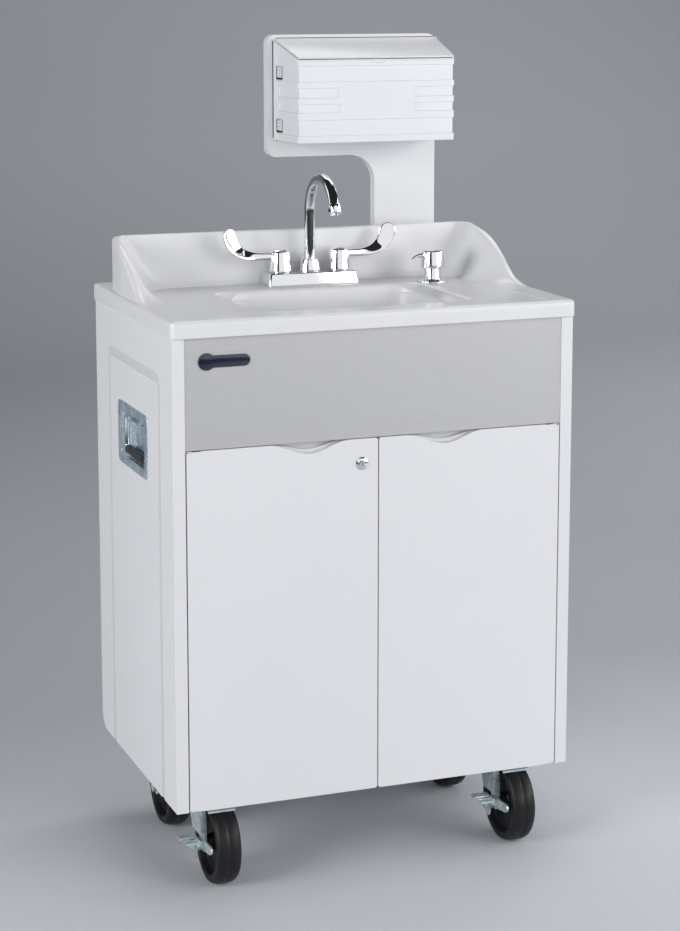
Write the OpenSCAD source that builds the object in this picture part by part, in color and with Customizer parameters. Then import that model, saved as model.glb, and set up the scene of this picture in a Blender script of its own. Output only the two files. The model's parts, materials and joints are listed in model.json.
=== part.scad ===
// Self-contained hand-wash sink: a white cabinet on four swivel casters under a moulded basin top,
// with a wrist-blade faucet, a soap pump and a towel box on a board behind. Millimetres, +Z up.
// The origin is on the floor, under the middle of the whole outline. X runs to the right, Y to the back.

/* [Cabinet] */
// Width over the side panels
cab_w = 646; // [600:1:760]
// Depth over the side panels
cab_d = 434; // [420:1:520]
// Height of the side panels
cab_h = 720; // [680:1:820]
// Thickness of the side panels
panel_t = 19; // [18:1:24]
// Thickness of the base panel
base_t = 19; // [12:1:24]
// Thickness of the back panel
back_t = 12; // [8:1:18]
// How far the side panels and doors reach below the base panel
skirt = 24; // [12:1:26]
// Radius of the lower rear corner of the side panels
panel_corner_r = 30; // [10:1:50]
// Width of the shaped groove in the side panels
groove_w = 14; // [8:1:20]
// Depth of that groove
groove_depth = 3; // [1:0.5:5]
// Distance of the groove from the front edge of the panel
groove_front = 66; // [40:1:85]
// Distance of the groove from the rear edge of the panel
groove_rear = 72; // [40:1:85]
// Distance of the groove's top from the panel's top edge
groove_top = 62; // [40:1:100]
// Radius of the groove's upper corners
groove_r = 34; // [16:1:50]

/* [Apron and doors] */
// Height of the steel apron
apron_h = 167; // [160:1:200]
// Thickness of the steel sheet
sheet_t = 1.5; // [0.8:0.1:3]
// Thickness of the board behind the sheet
apron_board_t = 18; // [12:1:22]
// Thickness of the doors
door_t = 19; // [16:1:22]
// Gap round each door
door_gap = 2; // [1.5:0.1:3]
// Width of the finger scoop in a door's top edge
scoop_w = 128; // [90:1:160]
// Depth of the finger scoop
scoop_depth = 16.6; // [10:0.2:24]
// Distance of a scoop's middle from the cabinet's middle
scoop_x = 110; // [95:1:140]
// Distance of a door's pivot from its outer edge
pivot_edge = 5.5; // [5:0.1:6.5]
// Distance of a door's pivot behind its front face
pivot_back = 4.5; // [4:0.1:5.5]
// Diameter of a pivot pin
pivot_dia = 5; // [4:0.2:6]
// Length of a pivot pin
pivot_len = 15; // [8:1:24]

/* [Lock] */
// Diameter of the lock's round rim
lock_rim_dia = 20; // [17:0.5:24]
// Diameter of the lock's barrel
lock_dia = 16; // [14.5:0.5:19]
// Diameter of the key plug
plug_dia = 12; // [8:0.5:13]
// Distance of the lock from the doors' meeting line
lock_x = 27; // [22:1:36]
// Distance of the lock below the doors' top edge
lock_drop = 38; // [30:1:60]
// Length of the cam behind the door, from the lock's axis
cam_len = 42; // [38:1:60]

/* [Countertop] */
// Width of the moulded top
top_w = 650; // [648:1:770]
// How far the top overhangs the cabinet in front
overhang_front = 6; // [2:1:14]
// How far the top overhangs the cabinet behind
overhang_back = 12; // [4:1:24]
// Height of the top's outer edge
lip_h = 26; // [20:1:36]
// Height of the raised rim above the deck
rim_h = 2.5; // [1:0.5:5]
// Width of the raised rim
rim_w = 18; // [12:1:26]
// Thickness of the deck
deck_t = 10; // [7:1:14]
// Corner radius of the top
top_r = 5; // [3:1:20]
// Height of the splash above the deck
splash_h = 86.5; // [60:0.5:120]
// Thickness of the splash along its top
splash_t = 16; // [13:1:22]
// Depth of the ledge behind the splash
ledge_d = 70; // [50:1:84]
// How far the splash stands in from the top's side edges at the back
splash_inset = 12; // [4:1:20]
// Rounding of the splash's top edge
splash_round = 6; // [3:0.5:6]
// Distance of the side splash's front end from the top's front edge
ogee_front = 145; // [110:1:170]
// Radius of the hollow part of the side splash's outline
ogee_hollow_r = 150; // [110:5:190]
// Steepest slope of the side splash's outline, in degrees
ogee_angle = 38; // [32:1:44]
// Width of the side ramp at the back, outer face to foot
ramp_back_w = 66; // [45:1:76]
// Width of the side ramp at the front
ramp_front_w = 35; // [24:1:44]
// Inner plan radius of the splash's rear corners
splash_inner_r = 50; // [30:1:60]

/* [Basin] */
// Width of the basin's mouth
basin_w = 315; // [260:1:340]
// Depth of the basin's mouth, front to back
basin_d = 225; // [180:1:235]
// Height of the basin from the deck down to its floor
basin_h = 150; // [110:1:170]
// Sideways place of the basin's middle
basin_x = 7; // [-20:1:20]
// Distance of the basin's middle from the top's front edge
basin_front = 179; // [160:1:185]
// Plan radius of the basin's corners
basin_r = 40; // [20:1:60]
// Draft of the basin's walls, mouth to floor
basin_draft = 16; // [6:1:24]
// Wall of the basin
basin_wall = 5; // [3:0.5:7]
// Width of the sloped band beside the basin's mouth
band_w = 20; // [10:1:24]
// Depth of that band at the basin's mouth
band_depth = 9; // [4:1:12]
// Diameter of the drain hole
drain_dia = 48; // [40:1:56]

/* [Faucet] */
// Sideways place of the faucet's middle
faucet_x = 10; // [-10:1:20]
// Distance of the faucet's middle from the top's front edge
faucet_front = 337; // [332:1:338]
// Distance between the two handles
faucet_centres = 101.6; // [96:0.1:110]
// Width of the faucet's base plate
faucet_w = 156; // [148:1:172]
// Depth of the faucet's base plate
faucet_d = 50; // [44:1:50]
// Height of the faucet's base plate
faucet_h = 21; // [16:1:28]
// Height of a handle's hub
hub_h = 34; // [28:1:42]
// Diameter of a handle's hub at its foot
hub_dia = 38; // [32:1:42]
// Reach of a wrist blade from its hub's axis
blade_reach = 101; // [80:1:120]
// Rise of a wrist blade from the hub to its tip
blade_rise = 47; // [36:1:60]
// Width of a wrist blade's paddle
blade_w = 27; // [20:1:34]
// Diameter of the spout tube
spout_dia = 17; // [14:0.5:18]
// Wall of the spout tube
spout_wall = 1.5; // [1:0.25:2.5]
// Height of the spout's straight riser above the base plate
riser_h = 97; // [70:1:140]
// Bend radius of the spout
spout_bend = 59; // [45:1:70]
// Sweep of the spout's bend, in degrees
spout_sweep = 158; // [140:1:180]
// Diameter of the aerator
aerator_dia = 22; // [20.5:0.5:26]
// Length of the aerator
aerator_h = 16; // [12:1:22]

/* [Soap dispenser] */
// Distance of the dispenser from the top's right edge
soap_side = 116; // [100:1:130]
// Distance of the dispenser from the top's front edge
soap_front = 292; // [280:1:300]
// Diameter of the dispenser's collar flange
soap_flange_dia = 44; // [40:1:52]
// Diameter of the pump head
soap_head_dia = 37; // [35:1:40]
// Height of the pump head's top above the deck
soap_top = 52; // [50:1:70]
// Travel of the pump head
soap_travel = 12; // [6:1:14]
// Reach of the nozzle from the pump's axis
nozzle_reach = 38; // [30:1:50]
// Diameter of the soap bottle under the deck
bottle_dia = 62; // [50:1:66]
// Height of the soap bottle
bottle_h = 150; // [100:1:200]

/* [Tower] */
// Gap between the cabinet's back and the board
stand_off = 14; // [13:1:26]
// Thickness of the board
board_t = 20; // [14:1:24]
// Width of the board's upright post
post_w = 110; // [80:1:140]
// Sideways place of the board's right edge
board_right = 280; // [250:1:300]
// Width of the board's arm
arm_w = 301; // [296:1:330]
// Height of the board's arm
arm_h = 202; // [190:1:240]
// Height of the board above the deck
board_rise = 400; // [360:1:460]
// How far the post reaches down below the deck
post_drop = 236; // [160:1:300]
// Inner corner radius between post and arm
board_inner_r = 45; // [20:1:60]
// Width of the towel box at its back
box_w = 291; // [280:1:292]
// Depth of the towel box
box_d = 102; // [80:1:120]
// Height of the towel box at its front
box_front_h = 139; // [120:1:150]
// Height of the towel box at its back
box_back_h = 168; // [155:1:185]
// How much narrower each side of the box is at the front
box_taper = 8; // [0:1:14]
// Wall of the towel box
box_wall = 3; // [2.5:0.5:4]
// Distance of the box's floor above the board arm's lower edge
box_lift = 29; // [10:1:30]

/* [Side handles] */
// Length of the handle's plate, front to back
plate_l = 165; // [150:1:180]
// Height of the handle's plate
plate_h = 100; // [94:1:120]
// Thickness of the handle's plate
plate_t = 1.6; // [1:0.2:2.4]
// Distance of the handle's middle below the cabinet's top
handle_drop = 188; // [150:1:230]
// Depth of the dish
dish_depth = 14; // [13:0.5:16]
// Diameter of the bail's rod
bail_dia = 7; // [5:0.5:8]
// Height of the bail
bail_h = 52; // [44:1:56]
// Length of the bail
bail_l = 112; // [96:1:118]
// Diameter of the rubber grip
grip_dia = 14; // [12:0.5:15]
// Length of the rubber grip
grip_l = 88; // [60:1:90]

/* [Casters] */
// Diameter of the wheels
wheel_dia = 127; // [100:1:130]
// Width of the wheels
wheel_w = 38; // [30:1:40]
// Height from the floor to the base panel
caster_h = 156; // [153:1:175]
// Distance of the swivel axis from the axle
trail = 35; // [20:1:40]
// Distance of the swivel axes from the cabinet's sides
caster_side = 78; // [76:1:100]
// Distance of the front swivel axes from the cabinet's front
caster_front = 80; // [78:1:100]
// Distance of the rear swivel axes from the cabinet's back
caster_rear = 97; // [60:1:120]
// Thickness of the fork's sheet
fork_t = 3; // [2:0.5:4]
// Diameter of the axle bolts
axle_dia = 12; // [8:0.5:13]
// Diameter of the kingpins
kingpin_dia = 12; // [8:1:14]
// Length of a caster's mounting plate, sideways
mount_l = 95; // [90:1:100]
// Width of a caster's mounting plate
mount_w = 66; // [64:1:80]
// Spacing of the mounting bolts, sideways
bolt_l = 75; // [70:1:80]
// Spacing of the mounting bolts, front to back
bolt_w = 46; // [44:1:56]
// Diameter of the mounting bolts
bolt_dia = 8; // [6:1:8]

/* [Inside] */
// Width of each water tank
tank_w = 274; // [200:1:276]
// Depth of each water tank
tank_d = 235; // [180:1:240]
// Height of each water tank
tank_h = 325; // [240:1:330]
// Wall of the tanks
tank_wall = 3; // [2:0.5:5]
// Height of the equipment shelf above the base panel
shelf_rise = 355; // [355:1:400]
// Thickness of the equipment shelf
shelf_t = 15; // [10:1:19]
// Depth of the equipment shelf
shelf_d = 130; // [128:1:134]
// Diameter of the water heater
heater_dia = 120; // [90:1:124]
// Length of the water heater
heater_l = 260; // [180:1:262]
// Radius of the water hoses
hose_r = 7; // [5:0.5:8]
// Radius of the drain hose
drain_hose_r = 13; // [10:0.5:14]

/* [Hidden] */

// Radial clearance of a running fit
fit = 0.05;
// Clearance between pieces that move past each other
gap = 0.4;
// Overshoot of a cut past the face it opens
cut = 1;

wheel_r = wheel_dia / 2;
base_z = caster_h;
cab_z0 = caster_h - skirt;
cab_z1 = cab_z0 + cab_h;
lip_z = cab_z1 + lip_h;
deck_z = lip_z - rim_h;
inner_x = cab_w / 2 - panel_t;

// Reach of the outline from the cabinet's middle, front and back
reach_front = max(cab_d / 2 - caster_front + trail + wheel_r, cab_d / 2 + overhang_front);
reach_back = max(cab_d / 2 + stand_off + board_t, cab_d / 2 + overhang_back);
mid_y = (reach_front - reach_back) / 2;
cab_y0 = mid_y - cab_d / 2;
cab_y1 = mid_y + cab_d / 2;
top_y0 = cab_y0 - overhang_front;
top_y1 = cab_y1 + overhang_back;
apron_z0 = cab_z1 - apron_h;
door_z1 = apron_z0 - door_gap / 2;

// A rectangle with round corners, about the middle
module round_rect(w, d, r) {
  square([w - 2 * r, d], center = true);
  square([w, d - 2 * r], center = true);
  for (sx = [-1, 1], sy = [-1, 1])
    translate([sx * (w / 2 - r), sy * (d / 2 - r)]) circle(r, $fn = 48);
}

// A plate drawn as seen from the right: its outline in Y and Z, its thickness along +X
module side_plate(t) {
  rotate([90, 0, 90]) linear_extrude(t) children();
}

// A plate drawn as seen from the front: its outline in X and Z, its thickness along +Y
module face_plate(t) {
  translate([0, t, 0]) rotate([90, 0, 0]) linear_extrude(t) children();
}

// A cylinder along X or along Y from its low end
module rod_x(r, l, n = 48) { rotate([0, 90, 0]) cylinder(r = r, h = l, $fn = n); }
module rod_y(r, l, n = 48) { rotate([-90, 0, 0]) cylinder(r = r, h = l, $fn = n); }

// Side panels
handle_y = mid_y - 2;
handle_z = cab_z1 - handle_drop;
dish_l = plate_l - 27;
dish_h = plate_h - 26;

module panel_outline() {
  translate([cab_y0, cab_z0 + panel_corner_r]) square([cab_d, cab_h - panel_corner_r]);
  translate([cab_y0, cab_z0]) square([cab_d - panel_corner_r, panel_corner_r]);
  translate([cab_y1 - panel_corner_r, cab_z0 + panel_corner_r]) circle(panel_corner_r, $fn = 64);
}

module groove_outline(in) {
  y0 = cab_y0 + groove_front + in;
  y1 = cab_y1 - groove_rear - in;
  z1 = cab_z1 - groove_top - in;
  r = groove_r - in;
  translate([y0, cab_z0 - cut]) square([y1 - y0, z1 - r - cab_z0 + cut]);
  translate([y0 + r, cab_z0 - cut]) square([y1 - y0 - 2 * r, z1 - cab_z0 + cut]);
  for (y = [y0 + r, y1 - r]) translate([y, z1 - r]) circle(r, $fn = 48);
}

module side_panel() {
  difference() {
    translate([-cab_w / 2, 0, 0]) side_plate(panel_t) panel_outline();
    translate([-cab_w / 2 - cut, 0, 0]) side_plate(cut + groove_depth) difference() {
      groove_outline(0);
      groove_outline(groove_w);
    }
    translate([-cab_w / 2 - cut, handle_y, handle_z]) side_plate(panel_t + 2 * cut)
      round_rect(dish_l + 2 * gap, dish_h + 2 * gap, 8);
  }
}

module left_side_panel() { color("whitesmoke") side_panel(); }
module right_side_panel() { color("whitesmoke") mirror([1, 0, 0]) side_panel(); }

// Carcass
door_clear = 1.5;
vent_w = 90;
vent_h = 7;
vent_pitch = 16;
vent_count = 5;
vent_x = 120;
vent_rise = 90;
inlet_side = 74;
inlet_x = inlet_side - inner_x;
inlet_rise = 70;
inlet_w = 48;
inlet_h = 28;
board_bolt_z = [deck_z - post_drop + 40, deck_z - post_drop + 140];
board_bolt_x = [board_right - post_w + 25, board_right - 25];
board_bolt_r = 4;

module back_panel() {
  color("gainsboro") difference() {
    translate([-inner_x, cab_y1 - back_t, cab_z0])
      cube([2 * inner_x, back_t, cab_h]);
    for (i = [0:vent_count - 1])
      translate([vent_x, cab_y1 - back_t - cut, base_z + vent_rise + i * vent_pitch])
        face_plate(back_t + 2 * cut) round_rect(vent_w, vent_h, vent_h / 2 - 0.1);
    translate([inlet_x, cab_y1 - back_t - cut, base_z + inlet_rise])
      face_plate(back_t + 2 * cut) square([inlet_w, inlet_h], center = true);
    for (x = board_bolt_x, z = board_bolt_z)
      translate([x, cab_y1 - back_t - cut, z]) rod_y(board_bolt_r + fit, back_t + 2 * cut);
  }
}

module base_panel() {
  color("gainsboro") difference() {
    translate([-inner_x, cab_y0 + door_t + door_clear, base_z])
      cube([2 * inner_x, cab_d - door_t - door_clear - back_t, base_t]);
    at_casters() caster_holes(base_z - cut, base_t + 2 * cut);
  }
}

apron_sheet_y = cab_y0 + 1;

module steel_apron() {
  color("silver") translate([-inner_x, apron_sheet_y, apron_z0])
    cube([2 * inner_x, sheet_t, apron_h]);
}

module apron_board() {
  color("gainsboro") translate([-inner_x, apron_sheet_y + sheet_t, apron_z0])
    cube([2 * inner_x, apron_board_t, apron_h]);
}

shelf_z = base_z + base_t + shelf_rise;
shelf_top = shelf_z + shelf_t;

module equipment_shelf() {
  color("gainsboro") translate([-inner_x, cab_y1 - back_t - shelf_d, shelf_z])
    cube([2 * inner_x, shelf_d, shelf_t]);
}

// Doors
door_x0 = -inner_x + door_gap;
door_x1 = -door_gap / 2;
door_w = door_x1 - door_x0;
pivot_x = door_x0 + pivot_edge;
pivot_y = cab_y0 + pivot_back;
leaf_t = 2;
leaf_reach = 17.5;
notch_h = leaf_t + gap;
lock_z = door_z1 - lock_drop;
scoop_steps = 24;

function scoop_curve(depth) = [
  for (i = [0:scoop_steps])
    let (u = i / scoop_steps - 0.5)
      [-scoop_x + u * scoop_w, door_z1 - depth * (1 + cos(360 * u)) / 2]
];

module scoop_cut(depth) {
  polygon(concat([[-scoop_x - scoop_w / 2, door_z1 + cut]], scoop_curve(depth),
    [[-scoop_x + scoop_w / 2, door_z1 + cut]]));
}

module door_blank() {
  difference() {
    translate([door_x0, cab_y0, cab_z0]) cube([door_w, door_t, door_z1 - cab_z0]);
    translate([0, cab_y0 - cut, 0]) face_plate(door_t * 0.6 + cut) scoop_cut(scoop_depth);
    translate([0, cab_y0 - cut, 0]) face_plate(door_t + 2 * cut) scoop_cut(scoop_depth * 0.7);
    for (z = [cab_z0 - cut, door_z1 - notch_h])
      translate([pivot_x, pivot_y, z]) cylinder(r = leaf_reach + gap, h = notch_h + cut, $fn = 64);
    for (z = [cab_z0 + notch_h - cut, door_z1 - notch_h - pivot_len - gap])
      translate([pivot_x, pivot_y, z])
        cylinder(r = pivot_dia / 2 + fit, h = pivot_len + gap + cut, $fn = 32);
  }
}

module left_door() {
  color("whitesmoke") difference() {
    door_blank();
    translate([-lock_x, cab_y0 - cut, lock_z]) rod_y(lock_dia / 2 + fit, door_t + 2 * cut);
  }
}

module right_door() { color("whitesmoke") mirror([1, 0, 0]) door_blank(); }

// One pivot bracket of the left door: a leaf in the door's notch, a flange on the side panel, a pin
flange_h = 20;
flange_back = 36;
pin_boss_r = 3.8;

module pivot_bracket() {
  intersection() {
    translate([-inner_x, pivot_y - leaf_reach, 0])
      cube([leaf_reach - pivot_edge + 8, flange_back + leaf_reach, leaf_t]);
    union() {
      translate([pivot_x, pivot_y, 0]) cylinder(r = pin_boss_r, h = leaf_t, $fn = 48);
      translate([-inner_x, pivot_y, 0]) cube([pivot_x + pin_boss_r + inner_x, flange_back, leaf_t]);
    }
  }
  translate([-inner_x, cab_y0 + door_t + door_clear, 0])
    cube([leaf_t, pivot_y + flange_back - cab_y0 - door_t - door_clear, flange_h]);
  translate([pivot_x, pivot_y, 0]) cylinder(r = pivot_dia / 2, h = leaf_t + pivot_len, $fn = 32);
}

module door_pivots() {
  color("silver") for (side = [0, 1]) mirror([side, 0, 0]) {
    translate([0, 0, cab_z0]) pivot_bracket();
    translate([0, 0, door_z1]) mirror([0, 0, 1]) pivot_bracket();
  }
}

catch_w = 30;
catch_d = 16;
catch_drop = 20;
catch_x = 26;

module door_catches() {
  back_y = apron_sheet_y + sheet_t + apron_board_t;
  color("dimgray") for (side = [-1, 1]) translate([side * catch_x - catch_w / 2, 0, 0]) {
    translate([0, back_y, door_z1 - catch_drop]) cube([catch_w, catch_d, 2 * catch_drop]);
    translate([0, cab_y0 + door_t + 0.3, door_z1 - catch_drop])
      cube([catch_w, catch_d, catch_drop]);
  }
}

rim_proud = 2;
barrel_back = 5;

module lock_barrel() {
  color("silver") translate([-lock_x, 0, lock_z]) difference() {
    union() {
      translate([0, cab_y0 - rim_proud, 0]) rod_y(lock_rim_dia / 2, rim_proud);
      translate([0, cab_y0, 0]) rod_y(lock_dia / 2, door_t + barrel_back);
    }
    translate([0, cab_y0 - rim_proud - cut, 0])
      rod_y(plug_dia / 2 + fit, door_t + barrel_back + rim_proud + 2 * cut);
  }
}

cam_t = 3;
cam_w = 14;
key_w = 1.6;
key_h = 6.4;

module lock_plug() {
  color("silver") translate([-lock_x, 0, lock_z]) {
    difference() {
      translate([0, cab_y0 - rim_proud, 0])
        rod_y(plug_dia / 2, rim_proud + door_t + barrel_back + gap + cam_t);
      translate([-key_w / 2, cab_y0 - rim_proud - cut, -key_h / 2]) cube([key_w, 5, key_h]);
    }
    translate([0, cab_y0 + door_t + barrel_back + gap, 0]) {
      rod_y(cam_w / 2, cam_t);
      translate([-cam_w / 2, 0, -cam_len]) cube([cam_w, cam_t, cam_len]);
    }
  }
}

// Countertop
half_top = top_w / 2;
ogee_y0 = top_y0 + ogee_front;
ogee_y1 = ogee_y0 + ogee_hollow_r * sin(ogee_angle);
ogee_hollow_rise = ogee_hollow_r * (1 - cos(ogee_angle));
ogee_round_r = (splash_h - rim_h - ogee_hollow_rise) / (1 - cos(ogee_angle));
ogee_y2 = ogee_y1 + ogee_round_r * sin(ogee_angle);
splash_back = top_y1 - ledge_d;
ramp_y0 = top_y0 + rim_w - cut;
side_y1 = splash_back - 1.2 * splash_inner_r;
merge_y = top_y0 + 226;
back_foot = splash_t + 2;
outer_corner_r = 16;

// Height of the splash above the deck at a place along the side
function ogee(y) =
  y <= ogee_y0 ? rim_h :
  y <= ogee_y1 ? rim_h + ogee_hollow_r - sqrt(pow(ogee_hollow_r, 2) - pow(y - ogee_y0, 2)) :
  y >= ogee_y2 ? splash_h :
  splash_h - ogee_round_r + sqrt(pow(ogee_round_r, 2) - pow(ogee_y2 - y, 2));

function splash_x(y) =
  half_top - 1 - (splash_inset - 1) * min(1, max(0, (y - merge_y) / (splash_back - merge_y)));
function foot_x(y) =
  half_top - ramp_front_w
  - (ramp_back_w - ramp_front_w) * min(1, max(0, (y - ramp_y0) / (splash_back - ramp_y0)));

side_steps = 18;
corner_steps = 8;
foot_corner_x = foot_x(side_y1) - splash_inner_r;
foot_corner_y = splash_back - back_foot - splash_inner_r;
outer_corner_x = splash_x(splash_back) - outer_corner_r;
outer_corner_y = splash_back - outer_corner_r;

// Stations round the right half of the splash: outer point, foot point and height
right_stations = concat(
  [for (i = [0:side_steps]) let (y = ramp_y0 + (side_y1 - ramp_y0) * i / side_steps)
    [[splash_x(y), y], [foot_x(y), min(y, foot_corner_y)], ogee(y)]],
  [for (i = [1:corner_steps]) let (a = 90 * i / corner_steps)
    [[outer_corner_x + outer_corner_r * cos(a), outer_corner_y + outer_corner_r * sin(a)],
     [foot_corner_x + splash_inner_r * cos(a), foot_corner_y + splash_inner_r * sin(a)],
     ogee(outer_corner_y + outer_corner_r * sin(a))]]
);
left_stations = [
  for (i = [len(right_stations) - 1:-1:0]) let (s = right_stations[i])
    [[-s[0][0], s[0][1]], [-s[1][0], s[1][1]], s[2]]
];
stations = concat(right_stations, left_stations);

// Section of the splash: distance in from the outer face, height above the deck
face_steps = 7;
function splash_section(w, h) =
  let (r = min(splash_round, h * 0.7), c = r * cos(45))
  concat(
    [[0, -deck_t / 2], [0, h - r], [r - c, h - r + c], [r, h], [splash_t - r, h],
     [splash_t - r + c, h - r + c]],
    [for (k = [0:face_steps]) let (u = k / face_steps)
      [splash_t + (w - splash_t) * (1 - pow(1 - u, 0.6)), (h - r) * (1 - u)]],
    [[w, -deck_t / 2]]
  );

splash_points = [
  for (s = stations) let (w = norm(s[1] - s[0]), d = (s[1] - s[0]) / w)
    for (p = splash_section(w, s[2]))
      [s[0][0] + d[0] * p[0], s[0][1] + d[1] * p[0], deck_z + p[1]]
];
section_n = face_steps + 8;

module splash() {
  n = section_n;
  m = len(stations);
  polyhedron(
    points = splash_points,
    faces = concat(
      [for (i = [0:m - 2], j = [0:n - 1]) let (k = (j + 1) % n)
        [i * n + j, i * n + k, (i + 1) * n + k, (i + 1) * n + j]],
      [[for (j = [n - 1:-1:0]) j]],
      [[for (j = [0:n - 1]) (m - 1) * n + j]]
    ),
    convexity = 8
  );
}

basin_y = top_y0 + basin_front;
basin_floor = deck_z - basin_h;
faucet_y = top_y0 + faucet_front;
soap_x = half_top - soap_side;
soap_y = top_y0 + soap_front;
shank_hole_r = 14;
soap_hole_r = 16;

module basin_form(grow, top, floor) {
  hull() {
    translate([basin_x, basin_y, top]) linear_extrude(0.1)
      round_rect(basin_w + 2 * grow, basin_d + 2 * grow, basin_r + grow);
    translate([basin_x, basin_y, floor]) linear_extrude(0.1)
      round_rect(basin_w - 2 * basin_draft + 2 * grow, basin_d - 2 * basin_draft + 2 * grow,
        basin_r - 8 + grow);
  }
}

module countertop() {
  mid = (top_y0 + top_y1) / 2;
  recess_d = splash_back - splash_t / 2 - top_y0 - rim_w;
  color("white") difference() {
    union() {
      difference() {
        translate([0, mid, cab_z1]) linear_extrude(lip_h) round_rect(top_w, top_y1 - top_y0, top_r);
        translate([-half_top + rim_w, top_y0 + rim_w, deck_z])
          cube([top_w - 2 * rim_w, recess_d, rim_h + cut]);
        translate([-inner_x + 4, cab_y0 + 30, cab_z1 - cut])
          cube([2 * inner_x - 8, cab_d - 34 - back_t, deck_z - deck_t - cab_z1 + cut]);
      }
      splash();
      basin_form(basin_wall, deck_z - deck_t, basin_floor - basin_wall);
    }
    basin_form(0, deck_z + rim_h, basin_floor);
    hull() {
      translate([basin_x, basin_y, deck_z + 0.01]) linear_extrude(cut)
        round_rect(basin_w + 2 * band_w, basin_d - 26, 10);
      translate([basin_x, basin_y, deck_z - band_depth]) linear_extrude(0.1)
        round_rect(basin_w - 4, basin_d - 40, 10);
    }
    translate([basin_x, basin_y, basin_floor - basin_wall - cut])
      cylinder(r = drain_dia / 2, h = basin_wall + 2 * cut, $fn = 64);
    for (s = [-1, 1])
      translate([faucet_x + s * faucet_centres / 2, faucet_y, deck_z - deck_t - cut])
        cylinder(r = shank_hole_r, h = deck_t + 2 * cut, $fn = 48);
    translate([soap_x, soap_y, deck_z - deck_t - cut])
      cylinder(r = soap_hole_r, h = deck_t + 2 * cut, $fn = 48);
  }
}

// Drain: a flanged body with a grid in the basin's floor, a nut under it and the tailpiece
drain_r = drain_dia / 2 - 0.5;
drain_flange = 9;
grid_deep = 4;
drain_body_h = 34;
tail_r = 16;
tail_h = 60;
drain_z = basin_floor - basin_wall;
tail_z = drain_z - drain_body_h - tail_h;

module basin_drain() {
  color("silver") translate([basin_x, basin_y, 0]) {
    difference() {
      union() {
        translate([0, 0, basin_floor]) cylinder(r = drain_r + drain_flange, h = 2, $fn = 64);
        translate([0, 0, drain_z - drain_body_h])
          cylinder(r = drain_r, h = drain_body_h + basin_wall, $fn = 64);
      }
      translate([0, 0, drain_z - drain_body_h - cut])
        cylinder(r = drain_r - 3, h = drain_body_h + basin_wall - 1, $fn = 64);
      for (a = [0:45:315]) rotate([0, 0, a]) translate([drain_r - 9, 0, basin_floor - grid_deep])
        cylinder(r = 3.5, h = 2 * grid_deep, $fn = 24);
      translate([0, 0, basin_floor - grid_deep]) cylinder(r = 4, h = 2 * grid_deep, $fn = 24);
    }
    translate([0, 0, drain_z - 9]) difference() {
      cylinder(r = drain_r + drain_flange, h = 9, $fn = 64);
      translate([0, 0, -cut]) cylinder(r = drain_r, h = 9 + 2 * cut, $fn = 64);
    }
    difference() {
      union() {
        translate([0, 0, tail_z]) cylinder(r = tail_r, h = tail_h, $fn = 48);
        translate([0, 0, tail_z + tail_h - 6]) cylinder(r = drain_r, h = 6, $fn = 64);
      }
      translate([0, 0, tail_z - cut]) cylinder(r = tail_r - 2, h = tail_h + 2 * cut, $fn = 48);
    }
  }
}

// Faucet
plate_top = deck_z + faucet_h;
stem_r = 5;
stem_h = hub_h - 6;
handle_xs = [faucet_x - faucet_centres / 2, faucet_x + faucet_centres / 2];
collar_h = 21;

module faucet_plate() {
  color("lightgray") {
    difference() {
      translate([faucet_x, faucet_y, deck_z]) hull() {
        linear_extrude(3) round_rect(faucet_w, faucet_d, 5);
        translate([0, 0, faucet_h - 1]) linear_extrude(1)
          round_rect(faucet_w - 8, faucet_d - 8, 5);
      }
      for (x = handle_xs) translate([x, faucet_y, deck_z - cut])
        cylinder(r = shank_r + fit, h = shank_in + cut, $fn = 48);
    }
    for (x = handle_xs) translate([x, faucet_y, plate_top - 1])
      cylinder(r = stem_r, h = stem_h + 1, $fn = 32);
  }
}

shank_r = 10;
shank_in = 8;
shank_drop = 60;
shank_z = deck_z - shank_drop;

module faucet_shanks() {
  color("goldenrod") for (x = handle_xs) translate([x, faucet_y, 0]) {
    translate([0, 0, shank_z]) cylinder(r = shank_r, h = shank_drop + shank_in, $fn = 48);
    translate([0, 0, deck_z - deck_t - 9]) cylinder(r = 18, h = 9, $fn = 48);
  }
}

// Stations of a wrist blade: shares of the reach and the rise, shares of half the width along the
// blade, across it and through it, then its twist and its pitch
blade_path = [
  [0.14, 0.00, 0.22, 0.36, 0.22, 0, 0], [0.38, 0.00, 0.22, 0.40, 0.22, 10, 0],
  [0.53, 0.04, 0.26, 0.54, 0.20, 30, 12], [0.66, 0.14, 0.34, 0.70, 0.19, 45, 32],
  [0.76, 0.30, 0.50, 0.83, 0.17, 55, 52], [0.825, 0.50, 0.76, 0.94, 0.16, 62, 68],
  [0.855, 0.72, 1.00, 1.00, 0.15, 65, 80]
];
blade_z = plate_top + hub_h - 7.5;

module blade_knot(s) {
  r = blade_w / 2;
  translate([s[0] * blade_reach, 0, blade_z + s[1] * blade_rise])
    rotate([0, -s[6], 0]) rotate([s[5], 0, 0]) scale([s[2], s[3], s[4]]) sphere(r, $fn = 24);
}

module wrist_handle() {
  difference() {
    union() {
      translate([0, 0, plate_top + gap])
        cylinder(r1 = hub_dia / 2, r2 = hub_dia / 2 - 3.5, h = hub_h - gap, $fn = 64);
      translate([0, 0, plate_top + hub_h]) cylinder(r = hub_dia / 2 - 6, h = 3, $fn = 64);
      for (i = [0:len(blade_path) - 2]) hull() {
        blade_knot(blade_path[i]);
        blade_knot(blade_path[i + 1]);
      }
    }
    translate([0, 0, plate_top - cut])
      cylinder(r = stem_r + fit, h = stem_h + cut + gap, $fn = 32);
  }
}

module hot_handle() {
  color("lightgray") translate([handle_xs[0], faucet_y, 0]) mirror([1, 0, 0]) wrist_handle();
}
module cold_handle() {
  color("lightgray") translate([handle_xs[1], faucet_y, 0]) wrist_handle();
}

spout_r = spout_dia / 2;
bend_z = plate_top + riser_h;

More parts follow.
